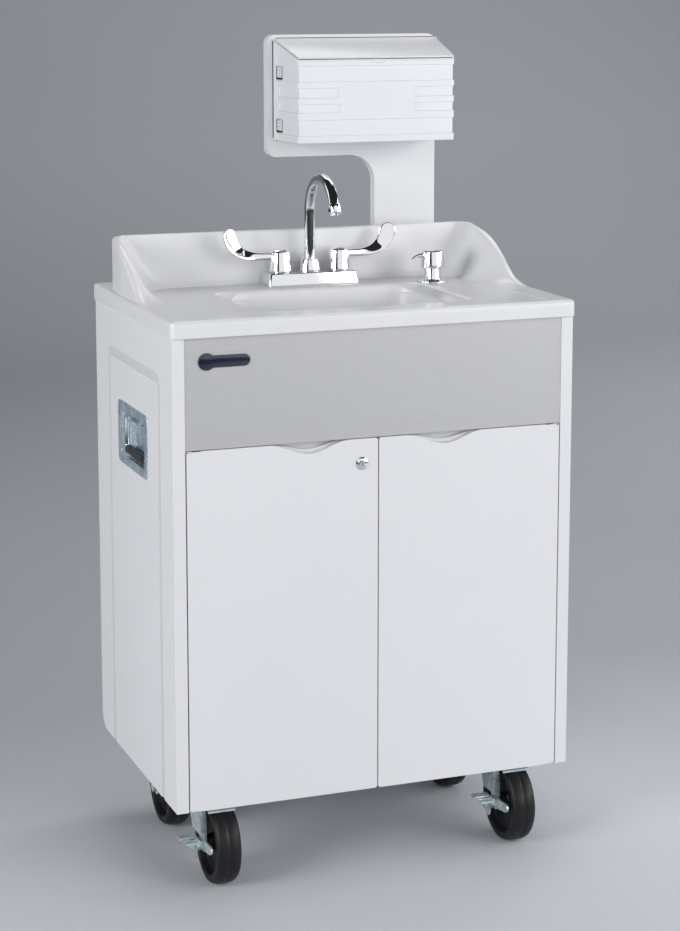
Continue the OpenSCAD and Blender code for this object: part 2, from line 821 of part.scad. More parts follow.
module spout_collar() {
  color("lightgray") translate([faucet_x, faucet_y, plate_top]) difference() {
    cylinder(r1 = 18, r2 = 14.5, h = collar_h, $fn = 64);
    translate([0, 0, -cut]) cylinder(r = spout_r + fit, h = collar_h + 2 * cut, $fn = 48);
  }
}

module spout_tube(r, end) {
  translate([0, 0, plate_top + gap - end]) cylinder(r = r, h = riser_h - gap + end, $fn = 48);
  translate([0, -spout_bend, bend_z]) rotate([90, 0, 90])
    rotate_extrude(angle = spout_sweep, $fn = 96) translate([spout_bend, 0]) circle(r, $fn = 48);
}

module gooseneck() {
  color("lightgray") translate([faucet_x, faucet_y, 0]) difference() {
    spout_tube(spout_r, 0);
    spout_tube(spout_r - spout_wall, cut);
  }
}

module aerator() {
  color("lightgray") translate([faucet_x, faucet_y - spout_bend, bend_z])
    rotate([spout_sweep, 0, 0]) translate([0, spout_bend, 0]) difference() {
      cylinder(r = aerator_dia / 2, h = aerator_h, $fn = 48);
      translate([0, 0, -cut]) cylinder(r = spout_r - spout_wall, h = aerator_h + 2 * cut, $fn = 48);
    }
}

// Soap dispenser
soap_tube_r = 14.2;
soap_neck_r = 14;
piston_r = 6;
head_h = 29;
head_wall = 2.6;
head_taper = 2;
tube_in = 4;
skirt_h = soap_travel + tube_in + 1;
piston_in = 6;
nozzle_z = 20;
nozzle_bend_x = 11 - nozzle_reach;
nozzle_dip = 5.5;
head_z = deck_z + soap_top - head_h;
soap_low = deck_z - deck_t - 22;
bottle_z = deck_z - deck_t - 12 - bottle_h;

module soap_collar() {
  color("lightgray") translate([soap_x, soap_y, 0]) difference() {
    union() {
      translate([0, 0, deck_z]) cylinder(r = soap_flange_dia / 2, h = 3, $fn = 64);
      translate([0, 0, deck_z]) cylinder(r = soap_tube_r, h = head_z + tube_in - deck_z, $fn = 48);
      translate([0, 0, soap_low]) cylinder(r = soap_neck_r, h = deck_z - soap_low + 1, $fn = 48);
      translate([0, 0, deck_z - deck_t - 8]) cylinder(r = 24, h = 8, $fn = 64);
    }
    translate([0, 0, soap_low - cut])
      cylinder(r = piston_r + fit, h = head_z + tube_in + 2 * cut - soap_low, $fn = 32);
  }
}

module soap_piston() {
  color("silver") translate([soap_x, soap_y, soap_low])
    cylinder(r = piston_r, h = head_z + skirt_h + piston_in - soap_low, $fn = 32);
}

module soap_head() {
  r = soap_head_dia / 2;
  color("lightgray") translate([soap_x, soap_y, head_z]) difference() {
    union() {
      cylinder(r1 = r, r2 = r - head_taper, h = head_h, $fn = 64);
      hull() {
        translate([-10, 0, nozzle_z]) sphere(3.4, $fn = 20);
        translate([nozzle_bend_x, 0, nozzle_z]) sphere(2.6, $fn = 20);
      }
      hull() {
        translate([nozzle_bend_x, 0, nozzle_z]) sphere(2.6, $fn = 20);
        translate([-nozzle_reach + 2, 0, nozzle_z - nozzle_dip]) sphere(2, $fn = 20);
      }
    }
    translate([0, 0, -cut]) cylinder(r = r - head_wall, h = skirt_h + cut, $fn = 48);
    translate([0, 0, skirt_h - cut]) cylinder(r = piston_r + fit, h = piston_in + cut + gap, $fn = 32);
  }
}

module soap_bottle() {
  color("ivory") translate([soap_x, soap_y, 0]) difference() {
    union() {
      translate([0, 0, bottle_z]) cylinder(r = bottle_dia / 2, h = bottle_h - 14, $fn = 64);
      translate([0, 0, bottle_z]) cylinder(r = soap_neck_r + 3, h = bottle_h, $fn = 48);
    }
    translate([0, 0, bottle_z + 2]) cylinder(r = bottle_dia / 2 - 2, h = bottle_h - 18, $fn = 64);
    translate([0, 0, bottle_z + bottle_h - 20]) cylinder(r = soap_neck_r + fit, h = 21, $fn = 48);
  }
}

// Tower board, its spacers and the towel box
board_y0 = cab_y1 + stand_off;
board_y1 = board_y0 + board_t;
board_z1 = deck_z + board_rise;
arm_z0 = board_z1 - arm_h;
post_z0 = deck_z - post_drop;
board_left = board_right - arm_w;
post_left = board_right - post_w;
board_corner_r = 14;
bolt_head_r = 8;
bolt_head_h = 4;
bolt_sink = 0.2;

module board_outline() {
  difference() {
    union() {
      translate([(board_left + board_right) / 2, (arm_z0 + board_z1) / 2])
        round_rect(arm_w, arm_h, board_corner_r);
      translate([post_left, post_z0]) square([post_w, board_z1 - post_z0 - board_corner_r]);
      translate([post_left - board_inner_r, arm_z0 - board_inner_r])
        square([board_inner_r + cut, board_inner_r + cut]);
    }
    translate([post_left - board_inner_r, arm_z0 - board_inner_r]) circle(board_inner_r, $fn = 96);
    translate([post_left - board_inner_r - cut, arm_z0 - board_inner_r - cut])
      square([board_inner_r + cut, cut + 0.001]);
  }
}

module tower_board() {
  color("whitesmoke") difference() {
    translate([0, board_y0, 0]) face_plate(board_t) board_outline();
    for (x = board_bolt_x, z = board_bolt_z) translate([x, 0, z]) {
      translate([0, board_y0 - cut, 0]) rod_y(board_bolt_r + fit, board_t + 2 * cut);
      translate([0, board_y1 - bolt_head_h - bolt_sink, 0])
        rod_y(bolt_head_r + gap, bolt_head_h + cut);
    }
  }
}

module tower_spacers() {
  color("silver") for (x = board_bolt_x, z = board_bolt_z) translate([x, cab_y1, z]) difference() {
    rod_y(11, stand_off);
    translate([0, -cut, 0]) rod_y(board_bolt_r + fit, stand_off + 2 * cut);
  }
}

box_x1 = board_right;
box_x0 = board_right - box_w;
box_z0 = arm_z0 + box_lift;
box_y0 = board_y0 - box_d;
lid_t = 3;
hinge_r = 3.5;
hinge_y = board_y0 - hinge_r - 0.6;
hinge_z = box_z0 + box_back_h - hinge_r - 0.8;
pin_r = 2;
ear_front = 5;
ear_h = 16;
slot_w = 200;
slot_d = 26;
rib_cut = 1.2;
rib_reach = box_d - 36;
short_rib = 72;
clip_l = 22;
clip_h = 23;
clip_y = board_y0 - 34;
clip_z = [box_z0 + 13, box_z0 + 100];

// Box form: its back and front walls' outlines joined, drawn in by a wall, lowered by a drop
module box_form(in, drop) {
  hull() {
    translate([box_x0 + in, board_y0 - in - 0.1, box_z0 + in])
      cube([box_w - 2 * in, 0.1, box_back_h - in - drop]);
    translate([box_x0 + box_taper + in, box_y0 + in, box_z0 + in])
      cube([box_w - 2 * box_taper - 2 * in, 0.1, box_front_h - in - drop]);
  }
}

// Shallow bands round the front and sides, two across and two short ones at each end
module rib_grooves() {
  difference() {
    union() {
      for (z = clip_z) translate([box_x0 - cut, box_y0 - cut, z - 1])
        cube([box_w + 2 * cut, rib_reach, clip_h + 2]);
      for (x = [box_x0 - cut, box_x1 - short_rib], z = [49, 74])
        translate([x, box_y0 - cut, box_z0 + z]) cube([short_rib + cut, rib_reach, 14]);
    }
    box_form(rib_cut, -cut);
  }
}

module towel_box() {
  color("white") difference() {
    union() {
      box_form(0, lid_t + gap);
      for (x = [box_x0, box_x1 - box_wall]) {
        translate([x, hinge_y - ear_front, hinge_z - ear_h])
          cube([box_wall, board_y0 - hinge_y + ear_front, ear_h]);
        translate([x, hinge_y, hinge_z]) rod_x(hinge_r, box_wall);
      }
    }
    box_form(box_wall, -cut);
    translate([(box_x0 + box_x1) / 2 - slot_w / 2, box_y0 + 30, box_z0 - cut])
      cube([slot_w, slot_d, box_wall + 2 * cut]);
    translate([box_x0 + box_wall, hinge_y - hinge_r - 2 * gap, hinge_z - hinge_r - gap])
      cube([box_w - 2 * box_wall, 3 * hinge_r, 3 * hinge_r]);
    translate([box_x0 - cut, hinge_y, hinge_z]) rod_x(pin_r + fit, box_w + 2 * cut);
    rib_grooves();
    for (x = [box_x0 - cut, box_x1 - 2], z = clip_z)
      translate([x, clip_y, z]) cube([2 + cut, clip_l, clip_h]);
  }
}

module towel_box_clips() {
  color("gainsboro") for (x = [box_x0 + 0.4, box_x1 - 2 + fit], z = clip_z)
    translate([x, clip_y + 0.5, z + 0.5]) cube([1.6 - fit, clip_l - 1, clip_h - 1]);
}

module towel_box_lid() {
  ear_y = hinge_y - ear_front - gap;
  color("white") {
    difference() {
      box_form(0.4, 0);
      translate([0, 0, -lid_t]) box_form(-cut, 0);
      translate([box_x0 - cut, hinge_y, box_z0]) cube([box_w + 2 * cut, box_d, box_back_h + cut]);
      for (x = [box_x0 - cut, box_x1 - box_wall - gap])
        translate([x, ear_y, box_z0]) cube([box_wall + gap + cut, box_d, box_back_h + cut]);
    }
    translate([box_x0 + box_wall + gap, hinge_y, hinge_z]) rod_x(hinge_r, box_w - 2 * box_wall - 2 * gap);
    translate([box_x0 + 0.5, hinge_y, hinge_z]) rod_x(pin_r, box_w - 1, 32);
  }
}

// Side handles, drawn for the left side
skin_x = -cab_w / 2;
bail_x = skin_x + 5;
bail_z = handle_z + dish_h / 2 - 10;
grip_z = bail_z - bail_h;
bail_r = bail_dia / 2;
lug_w = 12;
lug_wall = 2.5;
lug_y = [handle_y - 30, handle_y + 30];

module handle_dish() {
  difference() {
    union() {
      translate([skin_x - plate_t, handle_y, handle_z])
        side_plate(plate_t) round_rect(plate_l, plate_h, 12);
      translate([skin_x - plate_t, handle_y, handle_z])
        side_plate(dish_depth + 2 * plate_t) round_rect(dish_l, dish_h, 8);
    }
    translate([skin_x - plate_t - cut, handle_y, handle_z])
      side_plate(dish_depth + plate_t + cut) round_rect(dish_l - 2 * plate_t, dish_h - 2 * plate_t, 7);
  }
  for (y = lug_y) difference() {
    union() {
      translate([bail_x, y - lug_w / 2, bail_z]) rod_y(bail_r + lug_wall, lug_w);
      translate([bail_x, y - lug_w / 2, bail_z - bail_r - lug_wall])
        cube([skin_x + dish_depth - bail_x + 0.2, lug_w, bail_dia + 2 * lug_wall]);
    }
    translate([bail_x, y - lug_w / 2 - cut, bail_z]) rod_y(bail_r + fit, lug_w + 2 * cut);
  }
}

module handle_bail() {
  for (z = [bail_z, grip_z]) translate([bail_x, handle_y - bail_l / 2, z]) rod_y(bail_r, bail_l, 32);
  for (y = [handle_y - bail_l / 2, handle_y + bail_l / 2]) {
    translate([bail_x, y, grip_z]) cylinder(r = bail_r, h = bail_h, $fn = 32);
    for (z = [bail_z, grip_z]) translate([bail_x, y, z]) sphere(bail_r, $fn = 32);
  }
}

module handle_grip() {
  translate([bail_x, handle_y - grip_l / 2, grip_z]) difference() {
    rod_y(grip_dia / 2, grip_l);
    translate([0, -cut, 0]) rod_y(bail_r + fit, grip_l + 2 * cut, 32);
  }
}

module left_handle_dish() { color("silver") handle_dish(); }
module right_handle_dish() { color("silver") mirror([1, 0, 0]) handle_dish(); }
module left_handle_bail() { color("silver") handle_bail(); }
module right_handle_bail() { color("silver") mirror([1, 0, 0]) handle_bail(); }
module left_handle_grip() { color("dimgray") handle_grip(); }
module right_handle_grip() { color("dimgray") mirror([1, 0, 0]) handle_grip(); }

// Water tanks with their caps
tank_x = inner_x - tank_w / 2 - 12;
tank_y = cab_y0 + door_t + 16 + tank_d / 2;
tank_z = base_z + base_t;
tank_r = 28;
neck_r = 28;
neck_h = 14;
cap_r = 33;
cap_h = 18;
tank_top = tank_z + tank_h;
cap_top = tank_top + neck_h + 4;

module tank() {
  difference() {
    union() {
      translate([0, tank_y, tank_z]) linear_extrude(tank_h) round_rect(tank_w, tank_d, tank_r);
      translate([0, tank_y, tank_top - cut]) cylinder(r = neck_r, h = neck_h + cut, $fn = 64);
    }
    translate([0, tank_y, tank_z + tank_wall]) linear_extrude(tank_h - 2 * tank_wall)
      round_rect(tank_w - 2 * tank_wall, tank_d - 2 * tank_wall, tank_r - tank_wall);
    translate([0, tank_y, tank_top - tank_wall - cut])
      cylinder(r = neck_r - tank_wall, h = neck_h + tank_wall + 3 * cut, $fn = 64);
  }
}

module fresh_tank() { color("lightblue") translate([-tank_x, 0, 0]) tank(); }
module waste_tank() { color("lightgray") translate([tank_x, 0, 0]) tank(); }

module tank_caps() {
  color("steelblue") for (s = [-1, 1]) translate([s * tank_x, tank_y, cap_top - cap_h]) difference() {
    cylinder(r = cap_r, h = cap_h, $fn = 64);
    translate([0, 0, -cut]) cylinder(r = neck_r + fit, h = cap_h - 4 + cut, $fn = 64);
  }
}

// Pump and heater on the shelf
gear_y = cab_y1 - back_t - shelf_d / 2;
pump_x = 130;
pump_r = 30;
pump_l = 110;
pump_z = shelf_top + pump_r + 6;
heater_r = heater_dia / 2;
heater_x = -150;
heater_z = shelf_top + heater_r + 6;
port_r = 9;
port_h = 12;
inlet_port_x = pump_x - 30;
outlet_port_x = pump_x + 30;
hot_port_x = heater_x + 10;

module pump() {
  color("dimgray") {
    translate([pump_x - pump_l / 2, gear_y, pump_z]) rod_x(pump_r, pump_l, 64);
    translate([pump_x - 45, gear_y - 24, shelf_top]) cube([90, 48, pump_r]);
    translate([inlet_port_x, gear_y - pump_r - port_h, pump_z]) rod_y(port_r, port_h + 8);
    translate([outlet_port_x, gear_y, pump_z + pump_r - 8]) cylinder(r = port_r, h = port_h + 8, $fn = 48);
    translate([pump_x - pump_l / 2 - port_h, gear_y, pump_z]) rod_x(port_r, port_h + 2);
  }
}

module water_heater() {
  color("beige") {
    translate([heater_x - heater_l / 2, gear_y, heater_z]) rod_x(heater_r, heater_l, 96);
    for (x = [heater_x - heater_l / 2 + 40, heater_x + heater_l / 2 - 60])
      translate([x, gear_y - 40, shelf_top]) cube([20, 80, heater_r]);
    translate([heater_x + heater_l / 2 - 2, gear_y, pump_z]) rod_x(port_r, port_h + 2);
    translate([hot_port_x, gear_y, heater_z + heater_r - 8]) cylinder(r = port_r, h = port_h + 8, $fn = 48);
  }
}

// Hoses, each a route with rounded bends swept by a ring
hose_bend = 24;
drain_bend = 30;
bend_steps = 6;
ring_n = 10;

function round_route(p, r) = concat(
  [p[0]],
  [for (i = [1:len(p) - 2])
    let (u = (p[i - 1] - p[i]) / norm(p[i - 1] - p[i]), v = (p[i + 1] - p[i]) / norm(p[i + 1] - p[i]))
      for (k = [0:bend_steps]) let (t = k / bend_steps)
        p[i] + u * r * pow(1 - t, 2) + v * r * pow(t, 2)],
  [p[len(p) - 1]]
);

// Ring frames along a route: each ring's first arm is carried over from the last ring
function tangent(q, i) =
  let (a = q[min(i + 1, len(q) - 1)] - q[max(i - 1, 0)]) a / norm(a);
function carried(q, i, n) =
  let (t = tangent(q, i), s = n - (n * t) * t, m = s / norm(s))
    i == len(q) - 1 ? [m] : concat([m], carried(q, i + 1, m));

module hose(p, r, bend, side) {
  q = round_route(p, bend);
  arms = carried(q, 0, side);
  pts = [for (i = [0:len(q) - 1]) let (t = tangent(q, i), a = arms[i], b = cross(t, a))
    for (k = [0:ring_n - 1]) q[i] + r * (a * cos(360 * k / ring_n) + b * sin(360 * k / ring_n))];
  polyhedron(
    points = pts,
    faces = concat(
      [for (i = [0:len(q) - 2], k = [0:ring_n - 1]) let (j = (k + 1) % ring_n)
        [i * ring_n + k, (i + 1) * ring_n + k, (i + 1) * ring_n + j, i * ring_n + j]],
      [[for (k = [0:ring_n - 1]) k]],
      [[for (k = [ring_n - 1:-1:0]) (len(q) - 1) * ring_n + k]]
    ),
    convexity = 6
  );
}

drain_level = 590;
suction_level = shelf_top + 30;
supply_level = deck_z - 130;
suction_y = gear_y - 100;

module hoses() {
  color("slategray") {
    hose([[basin_x, basin_y, tail_z], [basin_x, basin_y, drain_level], [tank_x, tank_y, drain_level],
      [tank_x, tank_y, cap_top]], drain_hose_r, drain_bend, [0, 1, 0]);
    hose([[-tank_x, tank_y, cap_top], [-tank_x, tank_y, suction_level], [-tank_x, suction_y, suction_level],
      [inlet_port_x, suction_y, suction_level], [inlet_port_x, suction_y, pump_z],
      [inlet_port_x, gear_y - pump_r - port_h, pump_z]], hose_r, hose_bend, [1, 0, 0]);
    hose([[pump_x - pump_l / 2 - port_h, gear_y, pump_z],
      [(pump_x - pump_l / 2 + heater_x + heater_l / 2) / 2, gear_y, pump_z],
      [heater_x + heater_l / 2 + port_h, gear_y, pump_z]], hose_r, 4, [0, 1, 0]);
    hose([[outlet_port_x, gear_y, pump_z + pump_r + port_h], [outlet_port_x, gear_y, supply_level],
      [handle_xs[1], faucet_y, supply_level], [handle_xs[1], faucet_y, shank_z]],
      hose_r, hose_bend, [0, 1, 0]);
    hose([[hot_port_x, gear_y, heater_z + heater_r + port_h], [hot_port_x, gear_y, supply_level],
      [handle_xs[0], faucet_y, supply_level], [handle_xs[0], faucet_y, shank_z]],
      hose_r, hose_bend, [0, 1, 0]);
  }
}

module power_inlet() {
  color("dimgray") translate([inlet_x, 0, base_z + inlet_rise]) difference() {
    union() {
      translate([0, cab_y1, 0]) face_plate(3) round_rect(inlet_w + 22, inlet_h + 10, 4);
      translate([0, cab_y1 - 26, 0]) face_plate(28) square([inlet_w - 0.6, inlet_h - 0.6], center = true);
    }
    translate([0, cab_y1 - 14, 0]) face_plate(14 + 4) square([28, 20], center = true);
  }
}

// Casters. Each has a swivel axis at its place and its wheel trails towards the front
caster_x = cab_w / 2 - caster_side;
front_y = cab_y0 + caster_front;
rear_y = cab_y1 - caster_rear;
mount_t = 3;
mount_z = caster_h - mount_t;
race_h = 6;
crown_t = fork_t;
crown_z = mount_z - race_h - gap - crown_t;
fork_in = wheel_w / 2 + 2.5;
fork_out = fork_in + fork_t;
crown_half = 26;
axle_r = axle_dia / 2;
boss_r = axle_r + 7;
king_r = kingpin_dia / 2;
nut_h = 6;
bolt_r = bolt_dia / 2;
bolt_cap_h = 5;

module at_casters() {
  for (x = [-caster_x, caster_x], y = [front_y, rear_y]) translate([x, y, 0]) children();
}

module caster_holes(z, h) {
  for (sx = [-1, 1], sy = [-1, 1]) translate([sx * bolt_l / 2, sy * bolt_w / 2, z])
    cylinder(r = bolt_r + fit, h = h, $fn = 32);
}

module caster_plates() {
  color("silver") at_casters() {
    difference() {
      translate([0, 0, mount_z]) linear_extrude(mount_t) round_rect(mount_l, mount_w, 6);
      caster_holes(mount_z - cut, mount_t + 2 * cut);
    }
    translate([0, 0, mount_z - race_h]) difference() {
      cylinder(r = 24, h = race_h + 0.1, $fn = 64);
      translate([0, 0, -cut]) cylinder(r = 15, h = race_h + cut - 0.5, $fn = 64);
    }
    translate([0, 0, crown_z - nut_h - gap])
      cylinder(r = king_r, h = mount_z - crown_z + nut_h + gap, $fn = 48);
    translate([0, 0, crown_z - nut_h - gap]) cylinder(r = king_r + 4, h = nut_h, $fn = 48);
  }
}

module mounting_bolts() {
  color("silver") {
    at_casters() for (sx = [-1, 1], sy = [-1, 1]) translate([sx * bolt_l / 2, sy * bolt_w / 2, 0]) {
      translate([0, 0, mount_z - bolt_cap_h])
        cylinder(r = bolt_r, h = bolt_cap_h + mount_t + base_t - 1, $fn = 32);
      translate([0, 0, mount_z - bolt_cap_h]) cylinder(r = bolt_r + 2.5, h = bolt_cap_h, $fn = 6);
    }
    for (x = board_bolt_x, z = board_bolt_z) translate([x, 0, z]) {
      translate([0, cab_y1 - back_t - 8, 0])
        rod_y(board_bolt_r, back_t + 8 + stand_off + board_t - bolt_sink, 32);
      translate([0, board_y1 - bolt_head_h - bolt_sink, 0]) rod_y(bolt_head_r, bolt_head_h);
      translate([0, cab_y1 - back_t - 6, 0]) rod_y(board_bolt_r + 3.5, 6, 6);
    }
  }
}

// Outline of a fork's leg in Y and Z, from its crown down to the axle's boss
module leg_outline() {
  top = crown_z + crown_t;
  difference() {
    union() {
      polygon([[-crown_half, top], [crown_half, top], [0, top - 18], [-trail + boss_r, wheel_r],
        [-trail - boss_r, wheel_r], [-trail - boss_r + 2, wheel_r + 36], [-crown_half - 14, top - 14]]);
      translate([-trail, wheel_r]) circle(boss_r, $fn = 64);
    }
    translate([-trail, wheel_r]) circle(axle_r + fit, $fn = 48);
  }
}

// A fork: crown, hood over the front of the wheel, two legs
hood_y = -trail - 30;
hood_z = wheel_r + 57;
hood_side = 6;

module fork() {
  top = crown_z + crown_t;
  difference() {
    translate([-fork_out, -crown_half, crown_z]) cube([2 * fork_out, 2 * crown_half, crown_t]);
    translate([0, 0, crown_z - cut]) cylinder(r = king_r + fit, h = crown_t + 2 * cut, $fn = 48);
  }
  translate([-fork_out, 0, 0]) side_plate(2 * fork_out - hood_side)
    polygon([[-crown_half, top], [hood_y, hood_z + crown_t], [hood_y, hood_z], [-crown_half, crown_z]]);
  for (x = [-fork_out, fork_in]) translate([x, 0, 0]) side_plate(fork_t) leg_outline();
}

// A front fork carries a bracket outside its left leg, over the brake
bracket_in = 5.5;
bracket_x = -fork_out - bracket_in - fork_t;

module brake_fork() {
  top = crown_z + crown_t - 3;
  low = wheel_r + 18;
  fork();
  translate([bracket_x, 0, 0]) side_plate(fork_t)
    polygon([[-trail - 7, top], [10, top], [8, top - 24], [-9, low], [-trail - 14, low]]);
  translate([bracket_x, -trail - 7, top - 3]) cube([bracket_in + fork_t + 0.1, 40, 3]);
  translate([bracket_x, -trail - 12, low + 2]) cube([bracket_in + fork_t + 0.1, fork_t, 40]);
}

// Wheel about its own axle, drawn as a half section: along the axle, out from it
hub_proud = 1.5;
hub_r = axle_r + 7;
web = 6;

module wheel() {
  h = wheel_w / 2;
  color("black") translate([0, -trail, wheel_r]) rotate([0, 90, 0]) rotate_extrude($fn = 128)
    polygon([[axle_r + fit, -h - hub_proud], [hub_r, -h - hub_proud], [hub_r, -web],
      [wheel_r - 15, -web],
      [wheel_r - 13, -h], [wheel_r - 5, -h], [wheel_r - 1.6, -h + 4], [wheel_r, -h + 10],
      [wheel_r, h - 10], [wheel_r - 1.6, h - 4], [wheel_r - 5, h], [wheel_r - 13, h],
      [wheel_r - 15, web], [hub_r, web], [hub_r, h + hub_proud], [axle_r + fit, h + hub_proud]]);
}

pedal_room = 14;
axle_head_h = 6;
axle_nut_h = 8;

module axle(reach) {
  color("silver") translate([-fork_out - reach, -trail, wheel_r]) {
    rod_x(axle_r, 2 * fork_out + reach + axle_nut_h, 48);
    translate([-axle_head_h, 0, 0]) rod_x(axle_r + 3, axle_head_h, 6);
    translate([2 * fork_out + reach, 0, 0]) rod_x(axle_r + 3.5, axle_nut_h, 6);
  }
}

// Brake pedal: a ring on the axle bolt, an ear to the front, a toe under it, two tabs out to the side
pedal_t = 3;
ear_l = 45;
toe_drop = 14;

module brake() {
  x1 = -fork_out - gap;
  x0 = -fork_out - pedal_room + gap;
  color("silver") difference() {
    translate([0, -trail, wheel_r]) {
      translate([x0, 0, 0]) rod_x(axle_r + 4, x1 - x0);
      translate([x1 - pedal_t, 0, 0]) hull() {
        rod_x(9, pedal_t);
        translate([0, -ear_l, 5]) rod_x(7, pedal_t);
      }
      translate([x0, 0, 0]) hull() {
        rod_x(9, pedal_t);
        translate([0, 0, -toe_drop]) rod_x(7, pedal_t);
      }
      translate([x0, -21, 3]) cube([pedal_t, 32, 10]);
      translate([x0 - 24, -4, 10]) cube([24 + pedal_t, 15, pedal_t]);
      translate([x0 - 19, -21, 7]) cube([19 + pedal_t, 13, pedal_t]);
    }
    translate([x0 - 30, -trail, wheel_r]) rod_x(axle_r + fit, x1 - x0 + 31);
  }
}

module front_left_fork() { color("silver") translate([-caster_x, front_y, 0]) brake_fork(); }
module front_right_fork() { color("silver") translate([caster_x, front_y, 0]) brake_fork(); }
module rear_left_fork() { color("silver") translate([-caster_x, rear_y, 0]) fork(); }
module rear_right_fork() { color("silver") translate([caster_x, rear_y, 0]) fork(); }
module front_left_wheel() { translate([-caster_x, front_y, 0]) wheel(); }
module front_right_wheel() { translate([caster_x, front_y, 0]) wheel(); }
module rear_left_wheel() { translate([-caster_x, rear_y, 0]) wheel(); }
module rear_right_wheel() { translate([caster_x, rear_y, 0]) wheel(); }
module front_left_axle() { translate([-caster_x, front_y, 0]) axle(pedal_room); }
module front_right_axle() { translate([caster_x, front_y, 0]) axle(pedal_room); }
module rear_left_axle() { translate([-caster_x, rear_y, 0]) axle(0); }
module rear_right_axle() { translate([caster_x, rear_y, 0]) axle(0); }
module front_left_brake() { translate([-caster_x, front_y, 0]) brake(); }
module front_right_brake() { translate([caster_x, front_y, 0]) brake(); }

left_side_panel();
right_side_panel();
back_panel();
base_panel();
apron_board();
steel_apron();
equipment_shelf();
countertop();
basin_drain();
faucet_plate();
faucet_shanks();
hot_handle();
cold_handle();
spout_collar();
gooseneck();
aerator();
soap_collar();
soap_piston();
soap_head();
soap_bottle();
tower_board();
tower_spacers();
towel_box();
towel_box_lid();
towel_box_clips();
left_handle_dish();
right_handle_dish();
left_handle_bail();
right_handle_bail();
left_handle_grip();
right_handle_grip();
left_door();
right_door();
door_pivots();
door_catches();
lock_barrel();
lock_plug();
fresh_tank();
waste_tank();
tank_caps();
pump();
water_heater();
hoses();
power_inlet();
caster_plates();
mounting_bolts();
front_left_fork();
front_right_fork();
rear_left_fork();
rear_right_fork();
front_left_wheel();
front_right_wheel();
rear_left_wheel();
rear_right_wheel();
front_left_axle();
front_right_axle();
rear_left_axle();
rear_right_axle();
front_left_brake();
front_right_brake();
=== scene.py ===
"""A portable hand-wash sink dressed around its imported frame: a white cabinet on four casters, a moulded
basin top, a wrist-blade faucet, a soap pump and a towel box on a board behind. Shapes are made in
millimetres in the frame's own axes and scaled to metres when they are finished."""

import json
import math

import bmesh
import bpy
from bpy.props import FloatProperty, FloatVectorProperty, PointerProperty
from mathutils import Matrix, Vector

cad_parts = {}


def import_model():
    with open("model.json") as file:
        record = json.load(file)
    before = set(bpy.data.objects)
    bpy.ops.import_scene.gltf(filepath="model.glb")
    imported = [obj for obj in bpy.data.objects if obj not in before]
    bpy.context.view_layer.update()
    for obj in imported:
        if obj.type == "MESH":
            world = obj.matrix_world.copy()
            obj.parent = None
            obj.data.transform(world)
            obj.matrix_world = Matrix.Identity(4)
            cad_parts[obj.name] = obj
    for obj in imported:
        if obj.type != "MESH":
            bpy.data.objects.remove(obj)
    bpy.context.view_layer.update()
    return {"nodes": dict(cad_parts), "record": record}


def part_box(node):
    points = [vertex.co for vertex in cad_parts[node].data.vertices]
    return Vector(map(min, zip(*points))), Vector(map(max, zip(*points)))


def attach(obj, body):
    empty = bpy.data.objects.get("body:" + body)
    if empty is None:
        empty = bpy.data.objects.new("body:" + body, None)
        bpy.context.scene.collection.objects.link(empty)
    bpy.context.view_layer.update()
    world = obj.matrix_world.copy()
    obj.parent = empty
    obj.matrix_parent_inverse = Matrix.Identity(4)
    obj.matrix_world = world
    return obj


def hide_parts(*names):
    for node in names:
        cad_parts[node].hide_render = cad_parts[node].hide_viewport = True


bl_info = {
    "name": "Portable Hand-Wash Sink",
    "version": (1, 0, 0),
    "blender": (4, 5, 0),
    "location": "View3D > Sidebar > Sink",
    "description": "Dresses the packed frame of a portable hand-wash sink",
    "category": "Add Mesh",
}

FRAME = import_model()
BODY_OF = {n: b for b, names in FRAME["record"]["behaviour"]["bodies"].items() for n in names}
SLOT_OF = {s["node"]: s["material_slot"] for s in FRAME["record"]["subparts"]}
MM = 0.001


def node_box(node):
    """Lowest and highest corner of a frame node, in millimetres."""
    low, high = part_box(node)
    return low / MM, high / MM


# Places and sizes that more than one piece follows, in millimetres
TOP_LOW, TOP_HIGH = node_box("countertop")
TOP_W = round(TOP_HIGH.x - TOP_LOW.x, 1)
FRONT_Y, BACK_Y = TOP_LOW.y, TOP_HIGH.y
SPLASH_H = 86.5
DECK_Z = TOP_HIGH.z - SPLASH_H
CAB_LOW, CAB_HIGH = node_box("left_side_panel")
SKIN_X = round(-CAB_LOW.x, 1)
CAB_TOP = round(CAB_HIGH.z, 1)


# Values that a user would change


class SinkSizes(bpy.types.PropertyGroup):
    """Roundings and the camera's lens, in millimetres"""

    edge: FloatProperty(name="Panel edge", description="Rounding of panel and door edges",
                        default=1.3, min=0.2, max=3.0)
    lip_round: FloatProperty(name="Lip rounding", description="Rounding of the top's outer edge",
                             default=6.0, min=1.0, max=10.0)
    mouth_round: FloatProperty(name="Basin rounding", description="Rounding of the basin's mouth",
                               default=7.0, min=2.0, max=12.0)
    lens: FloatProperty(name="Lens", description="Focal length of the camera, in millimetres",
                        default=85.7, min=20.0, max=200.0)


class SinkColours(bpy.types.PropertyGroup):
    """Colours of the surfaces that show most"""

    laminate: FloatVectorProperty(name="Cabinet", description="Colour of the cabinet's panels",
                                  default=(0.76, 0.765, 0.79), subtype="COLOR", min=0, max=1)
    top: FloatVectorProperty(name="Top", description="Colour of the moulded top",
                             default=(0.77, 0.775, 0.80), subtype="COLOR", min=0, max=1)
    box: FloatVectorProperty(name="Towel box", description="Colour of the towel box",
                             default=(0.78, 0.79, 0.83), subtype="COLOR", min=0, max=1)
    badge: FloatVectorProperty(name="Badge", description="Colour of the bare badge plate",
                               default=(0.012, 0.014, 0.035), subtype="COLOR", min=0, max=1)
    floor: FloatVectorProperty(name="Floor", description="Colour of the floor and backdrop",
                               default=(0.53, 0.55, 0.59), subtype="COLOR", min=0, max=1)


